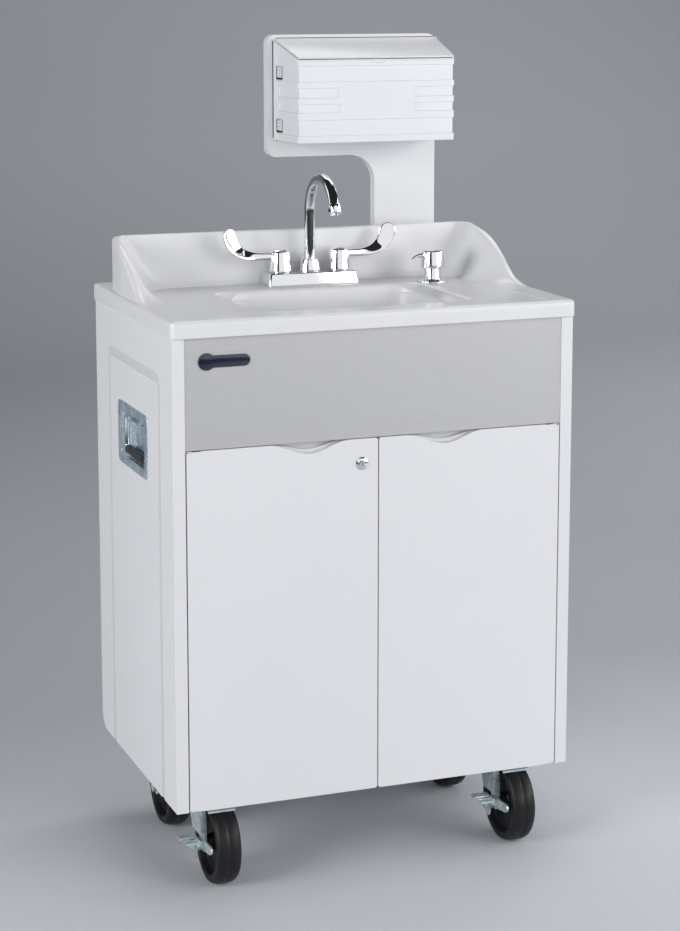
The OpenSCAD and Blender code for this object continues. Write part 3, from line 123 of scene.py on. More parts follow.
def sizes():
    """The sizes as the scene holds them."""
    return bpy.context.scene.sink_sizes


def colours():
    """The colours as the scene holds them."""
    return bpy.context.scene.sink_colours


# Outlines and meshes


def fillet_path(points, steps=5, closed=False):
    """Points of a path in a plane, each (a, b) or (a, b, radius), with arcs at the rounded corners."""
    out = []
    count = len(points)
    for i, point in enumerate(points):
        radius = point[2] if len(point) > 2 else 0
        here = Vector(point[:2])
        if radius <= 0 or (not closed and i in (0, count - 1)):
            out.append(here)
            continue
        before = Vector(points[i - 1][:2]) - here
        after = Vector(points[(i + 1) % count][:2]) - here
        half = before.angle(after) / 2
        reach = radius / math.tan(half)
        bisector = (before.normalized() + after.normalized()).normalized()
        centre = here + bisector * radius / math.sin(half)
        start = here + before.normalized() * reach - centre
        turn = start.angle_signed(here + after.normalized() * reach - centre)
        for k in range(steps + 1):
            out.append(centre + Matrix.Rotation(-turn * k / steps, 2) @ start)
    return out


def round_rect(width, depth, radius, steps=8):
    """Corner points of a rounded rectangle about the middle, anticlockwise."""
    w, d = width / 2, depth / 2
    return fillet_path([(w, -d, radius), (w, d, radius), (-w, d, radius), (-w, -d, radius)], steps, True)


def tidy(bm, merge=0.01):
    """Merges doubled points and turns the faces outwards."""
    bmesh.ops.remove_doubles(bm, verts=bm.verts, dist=merge)
    bmesh.ops.recalc_face_normals(bm, faces=bm.faces)


def soften(bm, width, segments=2, angle=30, only=None):
    """Bevels the edges that are sharper than an angle."""
    limit = math.radians(angle)
    edges = [e for e in bm.edges if len(e.link_faces) == 2 and e.calc_face_angle(0) > limit
             and (only is None or only(e))]
    if edges:
        bmesh.ops.bevel(bm, geom=edges, offset=width, segments=segments, profile=0.5,
                        affect="EDGES", clamp_overlap=True, material=-1)


def plate(bm, outline, thickness, frame):
    """A plate: its outline's (a, b) points placed by a matrix, its thickness along the third axis."""
    face = bm.faces.new([bm.verts.new(frame @ Vector((p[0], p[1], 0))) for p in outline])
    made = bmesh.ops.extrude_face_region(bm, geom=[face])["geom"]
    verts = [g for g in made if isinstance(g, bmesh.types.BMVert)]
    bmesh.ops.translate(bm, verts=verts, vec=frame.to_3x3() @ Vector((0, 0, thickness)))


def join(bm, other):
    """Adds another bmesh to this one and frees it."""
    held = bpy.data.meshes.new("Held")
    other.to_mesh(held)
    other.free()
    bm.from_mesh(held)
    bpy.data.meshes.remove(held)


def axes(first, second, third, at=(0, 0, 0)):
    """A matrix with these three axes and this place."""
    m = Matrix((first, second, third)).transposed().to_4x4()
    m.translation = Vector(at)
    return m


def lathe(bm, profile, at, axis=(0, 0, 1), steps=64):
    """Turns a profile of (radius, height) points about an axis through a point."""
    axis = Vector(axis).normalized()
    side = axis.orthogonal().normalized()
    verts = [bm.verts.new(Vector(at) + side * r + axis * h) for r, h in profile]
    edges = [bm.edges.new(pair) for pair in zip(verts, verts[1:])]
    bmesh.ops.spin(bm, geom=verts + edges, cent=at, axis=axis, dvec=(0, 0, 0),
                   angle=2 * math.pi, steps=steps, use_merge=True, use_duplicate=False)


def loft(bm, rings, caps=True, close=False):
    """Carries a closed ring of points through further rings by extruding its edges."""
    count = len(rings[0])
    verts = [bm.verts.new(p) for p in rings[0]]
    edges = [bm.edges.new((verts[i], verts[(i + 1) % count])) for i in range(count)]
    first_edges = edges
    if caps:
        bm.faces.new(verts)
    for ring in rings[1:]:
        places = {v.co.to_tuple(4): i for i, v in enumerate(verts)}
        made = bmesh.ops.extrude_edge_only(bm, edges=edges)["geom"]
        fresh = [None] * count
        for g in made:
            if isinstance(g, bmesh.types.BMVert):
                fresh[places[g.co.to_tuple(4)]] = g
        edges = [bm.edges.get((fresh[i], fresh[(i + 1) % count])) for i in range(count)]
        for v, p in zip(fresh, ring):
            v.co = p
        verts = fresh
    if caps:
        bm.faces.new(verts)
    if close:
        bmesh.ops.bridge_loops(bm, edges=first_edges + edges)


def tube_rings(path, radius, count=20):
    """Rings along a path of points, their arms carried over from ring to ring."""
    rings = []
    arm = None
    for i, p in enumerate(path):
        p = Vector(p)
        ahead = Vector(path[min(i + 1, len(path) - 1)]) - Vector(path[max(i - 1, 0)])
        ahead.normalize()
        arm = ahead.orthogonal() if arm is None else arm - ahead * arm.dot(ahead)
        arm.normalize()
        other = ahead.cross(arm)
        r = radius[i] if isinstance(radius, (list, tuple)) else radius
        rings.append([p + (arm * math.cos(a) + other * math.sin(a)) * r
                      for a in (2 * math.pi * k / count for k in range(count))])
    return rings


def copy_of(node, flat=0.6):
    """A mesh copy of a frame node in millimetres, merged, its flat faces joined."""
    bm = bmesh.new()
    bm.from_mesh(FRAME["nodes"][node].data)
    bmesh.ops.scale(bm, vec=(1 / MM,) * 3, verts=bm.verts)
    bmesh.ops.remove_doubles(bm, verts=bm.verts, dist=0.002)
    bmesh.ops.dissolve_limit(bm, angle_limit=math.radians(flat), verts=bm.verts, edges=bm.edges,
                             use_dissolve_boundaries=False, delimit=set())
    return bm


def finished(name, bm, look, node, smooth=35, slot=None, flat=False):
    """Makes a piece on a node's body. It stands for that node, unless it has a slot of its own."""
    bmesh.ops.scale(bm, vec=(MM,) * 3, verts=bm.verts)
    mesh = bpy.data.meshes.new(name)
    bm.to_mesh(mesh)
    bm.free()
    mesh.polygons.foreach_set("use_smooth", [True] * len(mesh.polygons))
    mesh.set_sharp_from_angle(angle=math.radians(smooth))
    piece = bpy.data.objects.new(name, mesh)
    bpy.context.scene.collection.objects.link(piece)
    for key in look.split():
        mesh.materials.append(FINISHES[key].material)
    if flat:
        piece.modifiers.new("Flat_Faces", "WEIGHTED_NORMAL").keep_sharp = True
    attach(piece, BODY_OF[node])
    if not slot:
        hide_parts(node)


def turned(name, profile, at, look, node, smooth=30, axis=(0, 0, 1), steps=64):
    """A piece turned from one profile, in place of a node."""
    bm = bmesh.new()
    lathe(bm, profile, at, axis, steps)
    tidy(bm)
    finished(name, bm, look, node, smooth)


def dressed(node, look, edge, segments=2, angle=30):
    """A frame node's copy with softened edges, in place of the node."""
    bm = copy_of(node)
    soften(bm, edge, segments, angle)
    finished(node + "_dressed", bm, look, node, flat=True)


# Finishes


class Finish:
    """A material that is built up from its shader: patterns read Object coordinates, in metres."""

    def __init__(self, name, colour, roughness, metallic=0.0, **sockets):
        self.material = bpy.data.materials.new(name)
        self.material.use_nodes = True
        self.tree = self.material.node_tree
        self.shader = self.tree.nodes["Principled BSDF"]
        self.colour = tuple(colour)
        self.set("Base Color", (*colour, 1))
        self.set("Roughness", roughness)
        self.set("Metallic", metallic)
        for key, value in sockets.items():
            self.set(key.replace("_", " "), value)
        self.place = self.add("ShaderNodeTexCoord").outputs["Object"]
        self.normal = None

    def set(self, socket, value):
        """Gives a socket of the shader one value."""
        self.shader.inputs[socket].default_value = value

    def add(self, kind, **fields):
        """Adds a node and sets its fields, or its sockets of those names."""
        made = self.tree.nodes.new(kind)
        for key, value in fields.items():
            if key in made.bl_rna.properties:
                setattr(made, key, value)
            else:
                made.inputs[key.replace("_", " ")].default_value = value
        return made

    def link(self, a, b):
        self.tree.links.new(a, b)

    def noise(self, scale, stretch=(1, 1, 1), detail=3.0, rough=0.5):
        """Noise between 0 and 1, its scale in waves per metre, stretched along the axes."""
        mapping = self.add("ShaderNodeMapping")
        mapping.inputs["Scale"].default_value = stretch
        self.link(self.place, mapping.inputs["Vector"])
        noise = self.add("ShaderNodeTexNoise", Scale=scale, Detail=detail, Roughness=rough)
        self.link(mapping.outputs["Vector"], noise.inputs["Vector"])
        return noise.outputs["Fac"]

    def span(self, value, low, high, at=(0.3, 0.7)):
        """Maps a pattern onto a span of numbers."""
        mapped = self.add("ShaderNodeMapRange", From_Min=at[0], From_Max=at[1], To_Min=low,
                          To_Max=high)
        self.link(value, mapped.inputs["Value"])
        return mapped.outputs["Result"]

    def tint(self, value, low, high, at=(0.3, 0.7)):
        """Varies the colour between two shades of itself, or two colours."""
        ramp = self.add("ShaderNodeValToRGB")
        for element, where, c in zip(ramp.color_ramp.elements, at, (low, high)):
            shade = c if isinstance(c, (list, tuple)) else [min(1, v * c) for v in self.colour]
            element.position, element.color = where, (*shade, 1)
        self.link(value, ramp.inputs["Fac"])
        self.link(ramp.outputs["Color"], self.shader.inputs["Base Color"])
        return self

    def gloss(self, value, low, high, at=(0.3, 0.7)):
        """Varies the roughness between two values."""
        self.link(self.span(value, low, high, at), self.shader.inputs["Roughness"])
        return self

    def bump(self, value, height, strength=1.0):
        """Adds a bump of a height in metres over the last one."""
        bump = self.add("ShaderNodeBump", Strength=strength, Distance=height)
        self.link(value, bump.inputs["Height"])
        if self.normal:
            self.link(self.normal, bump.inputs["Normal"])
        self.normal = bump.outputs["Normal"]
        self.link(self.normal, self.shader.inputs["Normal"])
        return self


FINISHES = {}

# The floor's run from the front to the back and up the sweep, in metres, and its shades along that run: a
# painted falloff of light, brightest just in front of the object, darker behind it and towards the
# camera, lighter again up the backdrop
FLOOR_SPAN = (-8, 9)
FLOOR_PAINTED_FALLOFF = ((0.088, 0.85), (0.27, 0.45), (0.406, 1.1), (0.476, 1.1), (0.524, 0.74), (0.569, 0.7),
                (0.706, 0.78), (0.882, 0.98))


def make_finishes():
    """Makes the materials and keeps each under a short name."""
    c = colours()
    made = FINISHES

    f = made["laminate"] = Finish("Cabinet_Laminate", c.laminate, 0.42, Coat_Weight=0.15,
                                  Coat_Roughness=0.3)
    f.tint(f.noise(3.0, detail=4), 0.985, 1.01)
    f.bump(f.noise(900, detail=2), 0.00002, 0.5).bump(f.noise(35, detail=2), 0.00012, 0.25)

    # The groove's faces in the laminate darkened to 0.8: painted shade in the recess
    f = made["groove"] = Finish("Groove_Painted_Shade_Laminate", [v * 0.8 for v in c.laminate], 0.55)
    f.tint(f.noise(3.0, detail=4), 0.985, 1.01)
    f.bump(f.noise(900, detail=2), 0.00002, 0.5)

    f = made["top"] = Finish("Moulded_Top", c.top, 0.3, Coat_Weight=0.2, Coat_Roughness=0.2)
    f.tint(f.noise(5.0, detail=5), 0.975, 1.01)
    f.gloss(f.noise(40, detail=3), 0.3, 0.38)
    f.bump(f.noise(500, detail=1), 0.00001, 0.3).bump(f.noise(14, detail=1), 0.0002, 0.12)

    f = made["steel"] = Finish("Brushed_Steel", (0.55, 0.55, 0.565), 0.56, 0.6, Anisotropic=0.3)
    f.tint(f.noise(60, (1, 6, 90), 5), 0.92, 1.06)
    f.gloss(f.noise(40, (1, 4, 60), 4), 0.5, 0.62)
    f.bump(f.noise(70, (1, 6, 120), 4), 0.00004, 0.5)

    f = made["chrome"] = Finish("Polished_Chrome", (0.82, 0.83, 0.85), 0.05, 1.0)
    f.gloss(f.noise(30, detail=4), 0.03, 0.09)
    f.bump(f.noise(25, detail=2), 0.0001, 0.08)

    f = made["box"] = Finish("Box_Plastic", c.box, 0.36, Coat_Weight=0.1, Coat_Roughness=0.2)
    f.tint(f.noise(8, detail=3), 0.98, 1.01)
    f.gloss(f.noise(30, detail=2), 0.34, 0.4)
    f.bump(f.noise(500, detail=1), 0.00001, 0.25)

    # The lid in the box's colour darkened to 0.93: painted shade on its sloped top
    f = made["lid"] = Finish("Box_Lid_Painted_Shade_Plastic", [v * 0.93 for v in c.box], 0.3, Coat_Weight=0.15,
                             Coat_Roughness=0.15)
    f.tint(f.noise(8, detail=3), 0.98, 1.01)
    f.gloss(f.noise(30, detail=2), 0.3, 0.36)
    f.bump(f.noise(500, detail=1), 0.00001, 0.25)

    f = made["bottle"] = Finish("Soap_Bottle", (0.82, 0.82, 0.76), 0.4, Subsurface_Weight=0.2,
                                Subsurface_Scale=0.01)
    f.tint(f.noise(20, detail=3), 0.95, 1.0).bump(f.noise(90, detail=2), 0.0002, 0.2)

    f = made["rubber"] = Finish("Grip_Rubber", (0.03, 0.03, 0.033), 0.55)
    f.gloss(f.noise(120, detail=4), 0.45, 0.7).bump(f.noise(1500, detail=3), 0.00005, 0.5)

    f = made["dish"] = Finish("Dish_Zinc", (0.6, 0.68, 0.73), 0.28, 0.75)
    f.tint(f.noise(40, detail=4), [0.44, 0.6, 0.7], [0.8, 0.87, 0.9])
    f.gloss(f.noise(120, detail=4), 0.2, 0.4).bump(f.noise(60, detail=3), 0.0002, 0.3)

    f = made["zinc"] = Finish("Zinc_Plate", (0.68, 0.76, 0.8), 0.3, 0.8)
    f.tint(f.noise(45, detail=5), [0.56, 0.67, 0.73], [0.84, 0.89, 0.88])
    f.gloss(f.noise(150, detail=5), 0.22, 0.42).bump(f.noise(600, detail=3), 0.00003, 0.5)

    f = made["tyre"] = Finish("Wheel_Rubber", (0.006, 0.006, 0.007), 0.4, Specular_IOR_Level=0.32)
    f.gloss(f.noise(60, detail=5), 0.34, 0.6)
    f.tint(f.noise(25, detail=5), 0.8, 1.8).bump(f.noise(900, detail=3), 0.00005, 0.5)

    f = made["brass"] = Finish("Machined_Brass", (0.72, 0.55, 0.26), 0.3, 1.0)
    f.tint(f.noise(60, detail=4), 0.85, 1.05).bump(f.noise(60, (1, 1, 30), 3), 0.00004, 0.4)

    f = made["tank"] = Finish("Tank_Plastic", (0.72, 0.78, 0.82), 0.4, Subsurface_Weight=0.25,
                              Subsurface_Scale=0.02)
    f.tint(f.noise(6, detail=3), 0.94, 1.02).bump(f.noise(40, detail=3), 0.0005, 0.25)

    f = made["cap"] = Finish("Cap_Plastic", (0.045, 0.05, 0.058), 0.42)
    f.gloss(f.noise(90, detail=4), 0.36, 0.56).bump(f.noise(1000, detail=2), 0.00004, 0.4)

    f = made["pump"] = Finish("Pump_Paint", (0.11, 0.12, 0.14), 0.38)
    f.tint(f.noise(20, detail=4), 0.8, 1.2).bump(f.noise(300, detail=3), 0.0001, 0.3)

    f = made["heater"] = Finish("Heater_Jacket", (0.74, 0.74, 0.7), 0.36, Coat_Weight=0.3)
    f.tint(f.noise(9, detail=4), 0.95, 1.02).bump(f.noise(60, detail=3), 0.0002, 0.2)

    f = made["board_inside"] = Finish("Inner_Board", (0.66, 0.66, 0.655), 0.55)
    f.tint(f.noise(12, detail=5), 0.95, 1.03).bump(f.noise(500, detail=3), 0.00006, 0.5)

    f = made["clip"] = Finish("Clip_Plastic", (0.66, 0.67, 0.7), 0.4)
    f.tint(f.noise(60, detail=3), 0.96, 1.02).bump(f.noise(900, detail=2), 0.00002, 0.4)

    f = made["badge"] = Finish("Badge_Enamel", c.badge, 0.16, Coat_Weight=0.8, Coat_Roughness=0.05)
    f.tint(f.noise(90, detail=3), 0.85, 1.2)

    # A near-black sheet material: painted shadow in the gaps and pockets
    f = made["dark"] = Finish("Painted_Shadow_Sheet", (0.01, 0.01, 0.011), 0.6)
    f.gloss(f.noise(90, detail=3), 0.5, 0.7)

    f = made["floor"] = Finish("Studio_Floor", c.floor, 0.55, Specular_IOR_Level=0.25)
    f.gloss(f.noise(3, detail=4), 0.48, 0.62)
    # The colour follows y + z with a slow random mottle: a painted falloff of light over the floor and
    # backdrop
    apart = f.add("ShaderNodeSeparateXYZ")
    f.link(f.place, apart.inputs[0])
    along = f.add("ShaderNodeMath", operation="ADD")
    f.link(apart.outputs["Y"], along.inputs[0])
    f.link(apart.outputs["Z"], along.inputs[1])
    mottle_and_painted_falloff = f.add("ShaderNodeMath", operation="MULTIPLY_ADD")
    f.link(f.noise(0.9, detail=5), mottle_and_painted_falloff.inputs[0])
    mottle_and_painted_falloff.inputs[1].default_value = 0.5
    f.link(along.outputs[0], mottle_and_painted_falloff.inputs[2])
    places, shades = zip(*FLOOR_PAINTED_FALLOFF)
    f.tint(f.span(mottle_and_painted_falloff.outputs[0], 0, 1, FLOOR_SPAN), *shades[:2], places[:2])
    ramp = f.shader.inputs["Base Color"].links[0].from_node.color_ramp
    for at, shade in FLOOR_PAINTED_FALLOFF[2:]:
        ramp.elements.new(at).color = (*[v * shade for v in c.floor], 1)


# Stage, in metres and watts

CAMERA_AT = (-1.2150, -3.2664, 1.3683)
CAMERA_TURN = (90 - 8.92, 0, -20.753)
CAMERA_SHIFT = -0.15

SWEEP_REACH, SWEEP_FRONT, SWEEP_BACK = 12.0, -12.0, 7.4
SWEEP_HIGH, SWEEP_BEND, SWEEP_STEPS = 7.0, 3.2, 15

# Each lamp's name, place, aim, width, height and power
LAMPS = (
    ("Front_Softbox", (0.2, -3.8, 2.05), (0, 0, 0.95), 5.6, 3.0, 49),
    ("Front_Right_Softbox", (2.4, -3.0, 1.65), (0, 0, 0.8), 2.0, 2.2, 50),
    ("Left_Softbox", (-3.4, -1.3, 1.5), (-0.1, -0.1, 0.75), 1.8, 1.5, 85),
    ("Right_Softbox", (3.4, -0.9, 1.6), (0, -0.1, 0.85), 2.4, 2.0, 54),
    ("Back_Softbox", (0.6, 1.4, 2.9), (0, 0, 0.8), 2.4, 1.2, 27),
    ("Rear_Left_Softbox", (-3.6, 2.6, 1.9), (0, 0, 0.8), 1.8, 1.8, 12),
    ("Backdrop_Softbox", (3.4, 2.2, 3.4), (3.6, 4.6, 0), 2.4, 1.6, 90),
)

WORLD_COLOUR = (0.55, 0.57, 0.6)
WORLD_LIGHT, WORLD_IN_METAL = 0.15, 0.035


def camera():
    """The photo's view: pitched down a little, with a small shift so that other views stay framed."""
    scene = bpy.context.scene
    eye = bpy.data.cameras.new("Camera")
    eye.lens, eye.sensor_width, eye.shift_y = sizes().lens, 36.0, CAMERA_SHIFT
    eye.clip_start, eye.clip_end = 0.05, 60.0
    holder = bpy.data.objects.new("Camera", eye)
    holder.location = CAMERA_AT
    holder.rotation_euler = [math.radians(a) for a in CAMERA_TURN]
    scene.collection.objects.link(holder)
    scene.camera = holder


def floor():
    """A floor that bends up into the backdrop."""
    start = SWEEP_BACK - SWEEP_BEND
    line = [(SWEEP_FRONT, 0.0), (start, 0.0)]
    for k in range(1, SWEEP_STEPS + 1):
        a = math.radians(90 * k / SWEEP_STEPS)
        line.append((start + SWEEP_BEND * math.sin(a), SWEEP_BEND - SWEEP_BEND * math.cos(a)))
    line.append((SWEEP_BACK, SWEEP_HIGH))
    bm = bmesh.new()
    verts = [bm.verts.new((-SWEEP_REACH, y, z)) for y, z in line]
    edges = [bm.edges.new(pair) for pair in zip(verts, verts[1:])]
    made = bmesh.ops.extrude_edge_only(bm, edges=edges)["geom"]
    bmesh.ops.translate(bm, vec=(2 * SWEEP_REACH, 0, 0),
                        verts=[g for g in made if isinstance(g, bmesh.types.BMVert)])
    bmesh.ops.recalc_face_normals(bm, faces=bm.faces)
    if bm.faces[0].normal.z < 0:
        bmesh.ops.reverse_faces(bm, faces=bm.faces)
    mesh = bpy.data.meshes.new("Floor")
    bm.to_mesh(mesh)
    bm.free()
    mesh.polygons.foreach_set("use_smooth", [True] * len(mesh.polygons))
    mesh.materials.append(FINISHES["floor"].material)
    piece = bpy.data.objects.new("Floor", mesh)
    bpy.context.scene.collection.objects.link(piece)


def area_lamp(name, at, aim, width, height, power):
    """A soft box that looks at a point."""
    lamp = bpy.data.lights.new(name, "AREA")
    lamp.shape, lamp.size, lamp.size_y, lamp.energy = "RECTANGLE", width, height, power
    holder = bpy.data.objects.new(name, lamp)
    holder.location = at
    holder.rotation_mode = "QUATERNION"
    holder.rotation_quaternion = (Vector(aim) - Vector(at)).to_track_quat("-Z", "Y")
    bpy.context.scene.collection.objects.link(holder)


def world():
    """A dim room, dimmer still where metal mirrors it."""
    made = bpy.data.worlds.new("Studio")
    bpy.context.scene.world = made
    made.use_nodes = True
    nodes, links = made.node_tree.nodes, made.node_tree.links
    nodes["Background"].inputs["Color"].default_value = (*WORLD_COLOUR, 1)
    path = nodes.new("ShaderNodeLightPath")
    level = nodes.new("ShaderNodeMapRange")
    level.inputs["To Min"].default_value = WORLD_LIGHT
    level.inputs["To Max"].default_value = WORLD_IN_METAL
    links.new(path.outputs["Is Glossy Ray"], level.inputs["Value"])
    links.new(level.outputs["Result"], nodes["Background"].inputs["Strength"])


class SINK_OT_stage(bpy.types.Operator):
    """Make the camera, the floor with its backdrop and the studio lamps"""

    bl_idname = "sink.stage"
    bl_label = "Stage"

    def execute(self, context):
        context.scene.view_settings.view_transform = "Standard"
        camera()
        floor()
        for lamp in LAMPS:
            area_lamp(*lamp)
        world()
        return {"FINISHED"}


# Cabinet

# The side panels' groove and how far it stands from the front, rear and top edges. Its outline turns on
# GROOVE_R in the frame. Here it turns on GROOVE_TURN outside and GROOVE_TURN_IN inside, and is shallower
# by GROOVE_LIFT.
GROOVE_W, GROOVE_DEEP = 14.0, 3.0
GROOVE_FRONT, GROOVE_REAR, GROOVE_TOP = 66.0, 72.0, 62.0
GROOVE_R, GROOVE_TURN, GROOVE_TURN_IN = 34.0, 19.0, 5.0
GROOVE_LIFT = 1.9
RIM_CLEAR = 20.0

DISH_L, DISH_H = 165.0, 100.0
DISH_Y = (CAB_LOW.y + CAB_HIGH.y) / 2 - 2
DISH_Z = CAB_TOP - 188
DISH_CLEAR_Y, DISH_CLEAR_Z = 90.0, 60.0

# An edge at a door's corner that is longer than DOOR_EDGE runs through its thickness
DOOR_CORNER_R, DOOR_EDGE = 4.0, 15.0
PIVOT_X = 294.2
PIVOT_SKIN_W, PIVOT_SKIN_H, PIVOT_SKIN_T = 18.0, 3.4, 0.55
RAIL_X0, RAIL_X1, RAIL_Z, RAIL_H, RAIL_T = 46.0, 280.0, 655.0, 34.0, 6.0

BADGE_LEFT, BADGE_RIGHT, BADGE_Z = -283.0, -203.0, 816.0
BADGE_R, BADGE_BAR, BADGE_T = 13.0, 9.0, 1.6

# Coordinates that differ by less than this are the same
SAME = 0.1


def by_groove(at):
    """Whether a place is over the groove and not at the panel's rim."""
    return (CAB_LOW.y + RIM_CLEAR < at.y < CAB_HIGH.y - RIM_CLEAR and at.z < CAB_HIGH.z - RIM_CLEAR
            and (abs(at.y - DISH_Y) > DISH_CLEAR_Y or abs(at.z - DISH_Z) > DISH_CLEAR_Z))


def side_panel(node):
    """A side panel whose groove is shallower than the frame's and turns on a smaller radius, its groove
    faces in a darker laminate as painted shade.
    """
    bm = copy_of(node)
    groove_x = SKIN_X - GROOVE_DEEP
    shift = GROOVE_R - GROOVE_TURN
    for v in bm.verts:
        if abs(v.co.x) < groove_x - SAME:
            continue
        for y, way in ((CAB_LOW.y + GROOVE_FRONT, 1), (CAB_HIGH.y - GROOVE_REAR, -1)):
            c = Vector((y + way * GROOVE_R, CAB_HIGH.z - GROOVE_TOP - GROOVE_R))
            arm = Vector((v.co.y, v.co.z)) - c
            for old, new in ((GROOVE_R, GROOVE_TURN), (GROOVE_R - GROOVE_W, GROOVE_TURN_IN)):
                if arm.x * way < 0.01 and arm.y > -0.01 and abs(arm.length - old) < 0.4:
                    v.co.y = c.x - way * shift + arm.x * new / old
                    v.co.z = c.y + shift + arm.y * new / old
    # The groove's faces take the darker laminate: painted shade
    for f in bm.faces:
        middle = f.calc_center_median()
        if -0.5 < abs(middle.x) - groove_x < GROOVE_DEEP - SAME and by_groove(middle):
            f.material_index = 1
    for v in bm.verts:
        if abs(abs(v.co.x) - groove_x) < SAME and by_groove(v.co):
            v.co.x *= (groove_x + GROOVE_LIFT) / groove_x
    soften(bm, 0.9, 3, 40)
    finished(node + "_dressed", bm, "laminate groove", node, 50, flat=True)


def door(node, side):
    """A door with rounded corners; a thin skin closes its front over the pivots' notches."""
    bm = copy_of(node)
    low, high = node_box(node)

    def corner(e):
        a, b = (v.co for v in e.verts)
        return (abs(a.x - b.x) < 0.01 and abs(a.z - b.z) < 0.01 and abs(a.y - b.y) > DOOR_EDGE
                and min(abs(a.x - low.x), abs(a.x - high.x)) < SAME
                and min(abs(a.z - low.z), abs(a.z - high.z)) < SAME)

    soften(bm, DOOR_CORNER_R, 4, 40, corner)
    soften(bm, sizes().edge, 3, 40)
    w, h = PIVOT_SKIN_W, PIVOT_SKIN_H
    for z in (low.z + 0.6, high.z - 0.6 - h):
        skin = bmesh.new()
        plate(skin, [(0, 0), (w, 0), (w, h), (0, h)], PIVOT_SKIN_T,
              axes((-side, 0, 0), (0, 0, 1), (0, 1, 0), (side * PIVOT_X, low.y + 0.02, z)))
        bmesh.ops.recalc_face_normals(skin, faces=skin.faces)
        join(bm, skin)
    finished(node + "_dressed", bm, "laminate", node, 50, flat=True)


def stop_rails():
    """Pale rails behind the doors' finger scoops."""
    back = node_box("left_door")[1].y
    bm = bmesh.new()
    for side in (-1, 1):
        plate(bm, [(RAIL_X0, 0), (RAIL_X1, 0), (RAIL_X1, RAIL_H), (RAIL_X0, RAIL_H)], RAIL_T,
              axes((side, 0, 0), (0, 0, 1), (0, 1, 0), (0, back + 0.6, RAIL_Z)))
    tidy(bm)
    soften(bm, 0.6, 2, 40)
    finished("Stop_Rails", bm, "laminate", "apron_board", slot=SLOT_OF["left_side_panel"], flat=True)


def badge_plate():
    """A bare plate on the apron: a round head that runs into a narrower bar with a round end."""
    head = [(math.cos(a) * BADGE_R + BADGE_LEFT + BADGE_R, math.sin(a) * BADGE_R + BADGE_Z)
            for a in (math.radians(d) for d in range(45, 316, 9))]
    bar = [(BADGE_RIGHT - BADGE_BAR + BADGE_BAR * math.sin(a), BADGE_Z - BADGE_BAR * math.cos(a))
           for a in (math.radians(d) for d in range(0, 181, 12))]
    bm = bmesh.new()
    plate(bm, head + bar, BADGE_T,
          axes((1, 0, 0), (0, 0, 1), (0, -1, 0), (0, node_box("steel_apron")[0].y, 0)))
    tidy(bm)
    soften(bm, 0.5, 3, 40)
    finished("Badge_Plate", bm, "badge", "steel_apron", slot="cap_plastic")


class SINK_OT_cabinet(bpy.types.Operator):
    """Make the cabinet's panels, its steel apron, the bare badge plate and the doors"""

    bl_idname = "sink.cabinet"
    bl_label = "Cabinet"

    def execute(self, context):
        for node in ("left_side_panel", "right_side_panel"):
            side_panel(node)
        for node, side in (("left_door", -1), ("right_door", 1)):
            door(node, side)
        stop_rails()
        for node in ("back_panel", "base_panel", "apron_board", "equipment_shelf"):
            dressed(node, "board_inside", 0.6)
        for node, look, edge in (("steel_apron", "steel", 0.4), ("door_pivots", "laminate", 0.3),
                                 ("tower_spacers", "zinc", 0.3), ("door_catches", "cap", 0.5)):
            dressed(node, look, edge)
        badge_plate()
        return {"FINISHED"}


# Moulded top

RIM_H, RIM_W, RIM_ROUND = 2.5, 18.0, 8.0
LIP_Z = DECK_Z + RIM_H
SIDE_STEPS, TURN_STEPS = 60, 14

# The splash: its outline rises over a hollow and a round arc that meet at one slope
SPLASH_FLAT, SPLASH_FOOT = 7.0, 18.0
SPLASH_BACK = BACK_Y - 70.0
HOLLOW_R, OGEE_ANGLE = 150.0, math.radians(38)
OGEE_Y0 = FRONT_Y + 145.0
OGEE_Y1 = OGEE_Y0 + HOLLOW_R * math.sin(OGEE_ANGLE)
ROUND_R = (SPLASH_H - RIM_H) / (1 - math.cos(OGEE_ANGLE)) - HOLLOW_R
OGEE_Y2 = OGEE_Y1 + ROUND_R * math.sin(OGEE_ANGLE)
INNER_R, OUTER_R = 50.0, 16.0
SIDE_Y1 = SPLASH_BACK - 60.0
CROWN, CROWN_BEND, BEND_ANGLE = 6.0, 7.5, 16.0
COVE_POWER, COVE_STEP = 0.62, 0.9
DECK_LEDGE = 1.2

# The basin: half width, half depth and corner radius of its mouth, then its walls and floor
BASIN = Vector((7.0, FRONT_Y + 179.0))
BASIN_HW, BASIN_HD, BASIN_R = 157.5, 112.5, 40.0
BASIN_DEEP, BASIN_DRAFT, BASIN_FILLET = 150.0, 16.0, 24.0
MOUTH_STEPS, MOUTH_ANGLE = 6, 13.0
MOUTH_OUT, MOUTH_REACH = 0.8, 1.05
MOUTH_CORNER, FOOT_CORNER = 44.0, 33.0
WALL_IN, FILLET_IN = 0.84, 0.92
FLOOR_RINGS = (60.0, 40.0, 24.0)
FLOOR_T = 5.0
UNDER_Z = DECK_Z - 10.0
UNDER_IN = 16.0

# The sloped band beside the basin: how far out it reaches, how deep it dips, and its shares across and
# down from the deck to the mouth
BAND_OUT, BAND_SIDE, BAND_DIP = 6.0, 18.0, 10.0
BAND_SLOPE = ((0.07, 0.42), (0.35, 0.62), (0.7, 0.84), (1.0, 1.0))
BAND_CORNER_Y = 74.0


def on_outline(c, s, half_w, half_d, radius):
    """Where a ray from the middle in the direction (c, s) meets a rounded rectangle."""
    reach = min(half_w / max(abs(c), 1e-9), half_d / max(abs(s), 1e-9))
    a, b = half_w - radius, half_d - radius
    if abs(c) * reach > a and abs(s) * reach > b:
        dot = abs(c) * a + abs(s) * b
        cross = abs(c) * b - abs(s) * a
        reach = dot + math.sqrt(max(0.0, radius * radius - cross * cross))
    return c * reach, s * reach


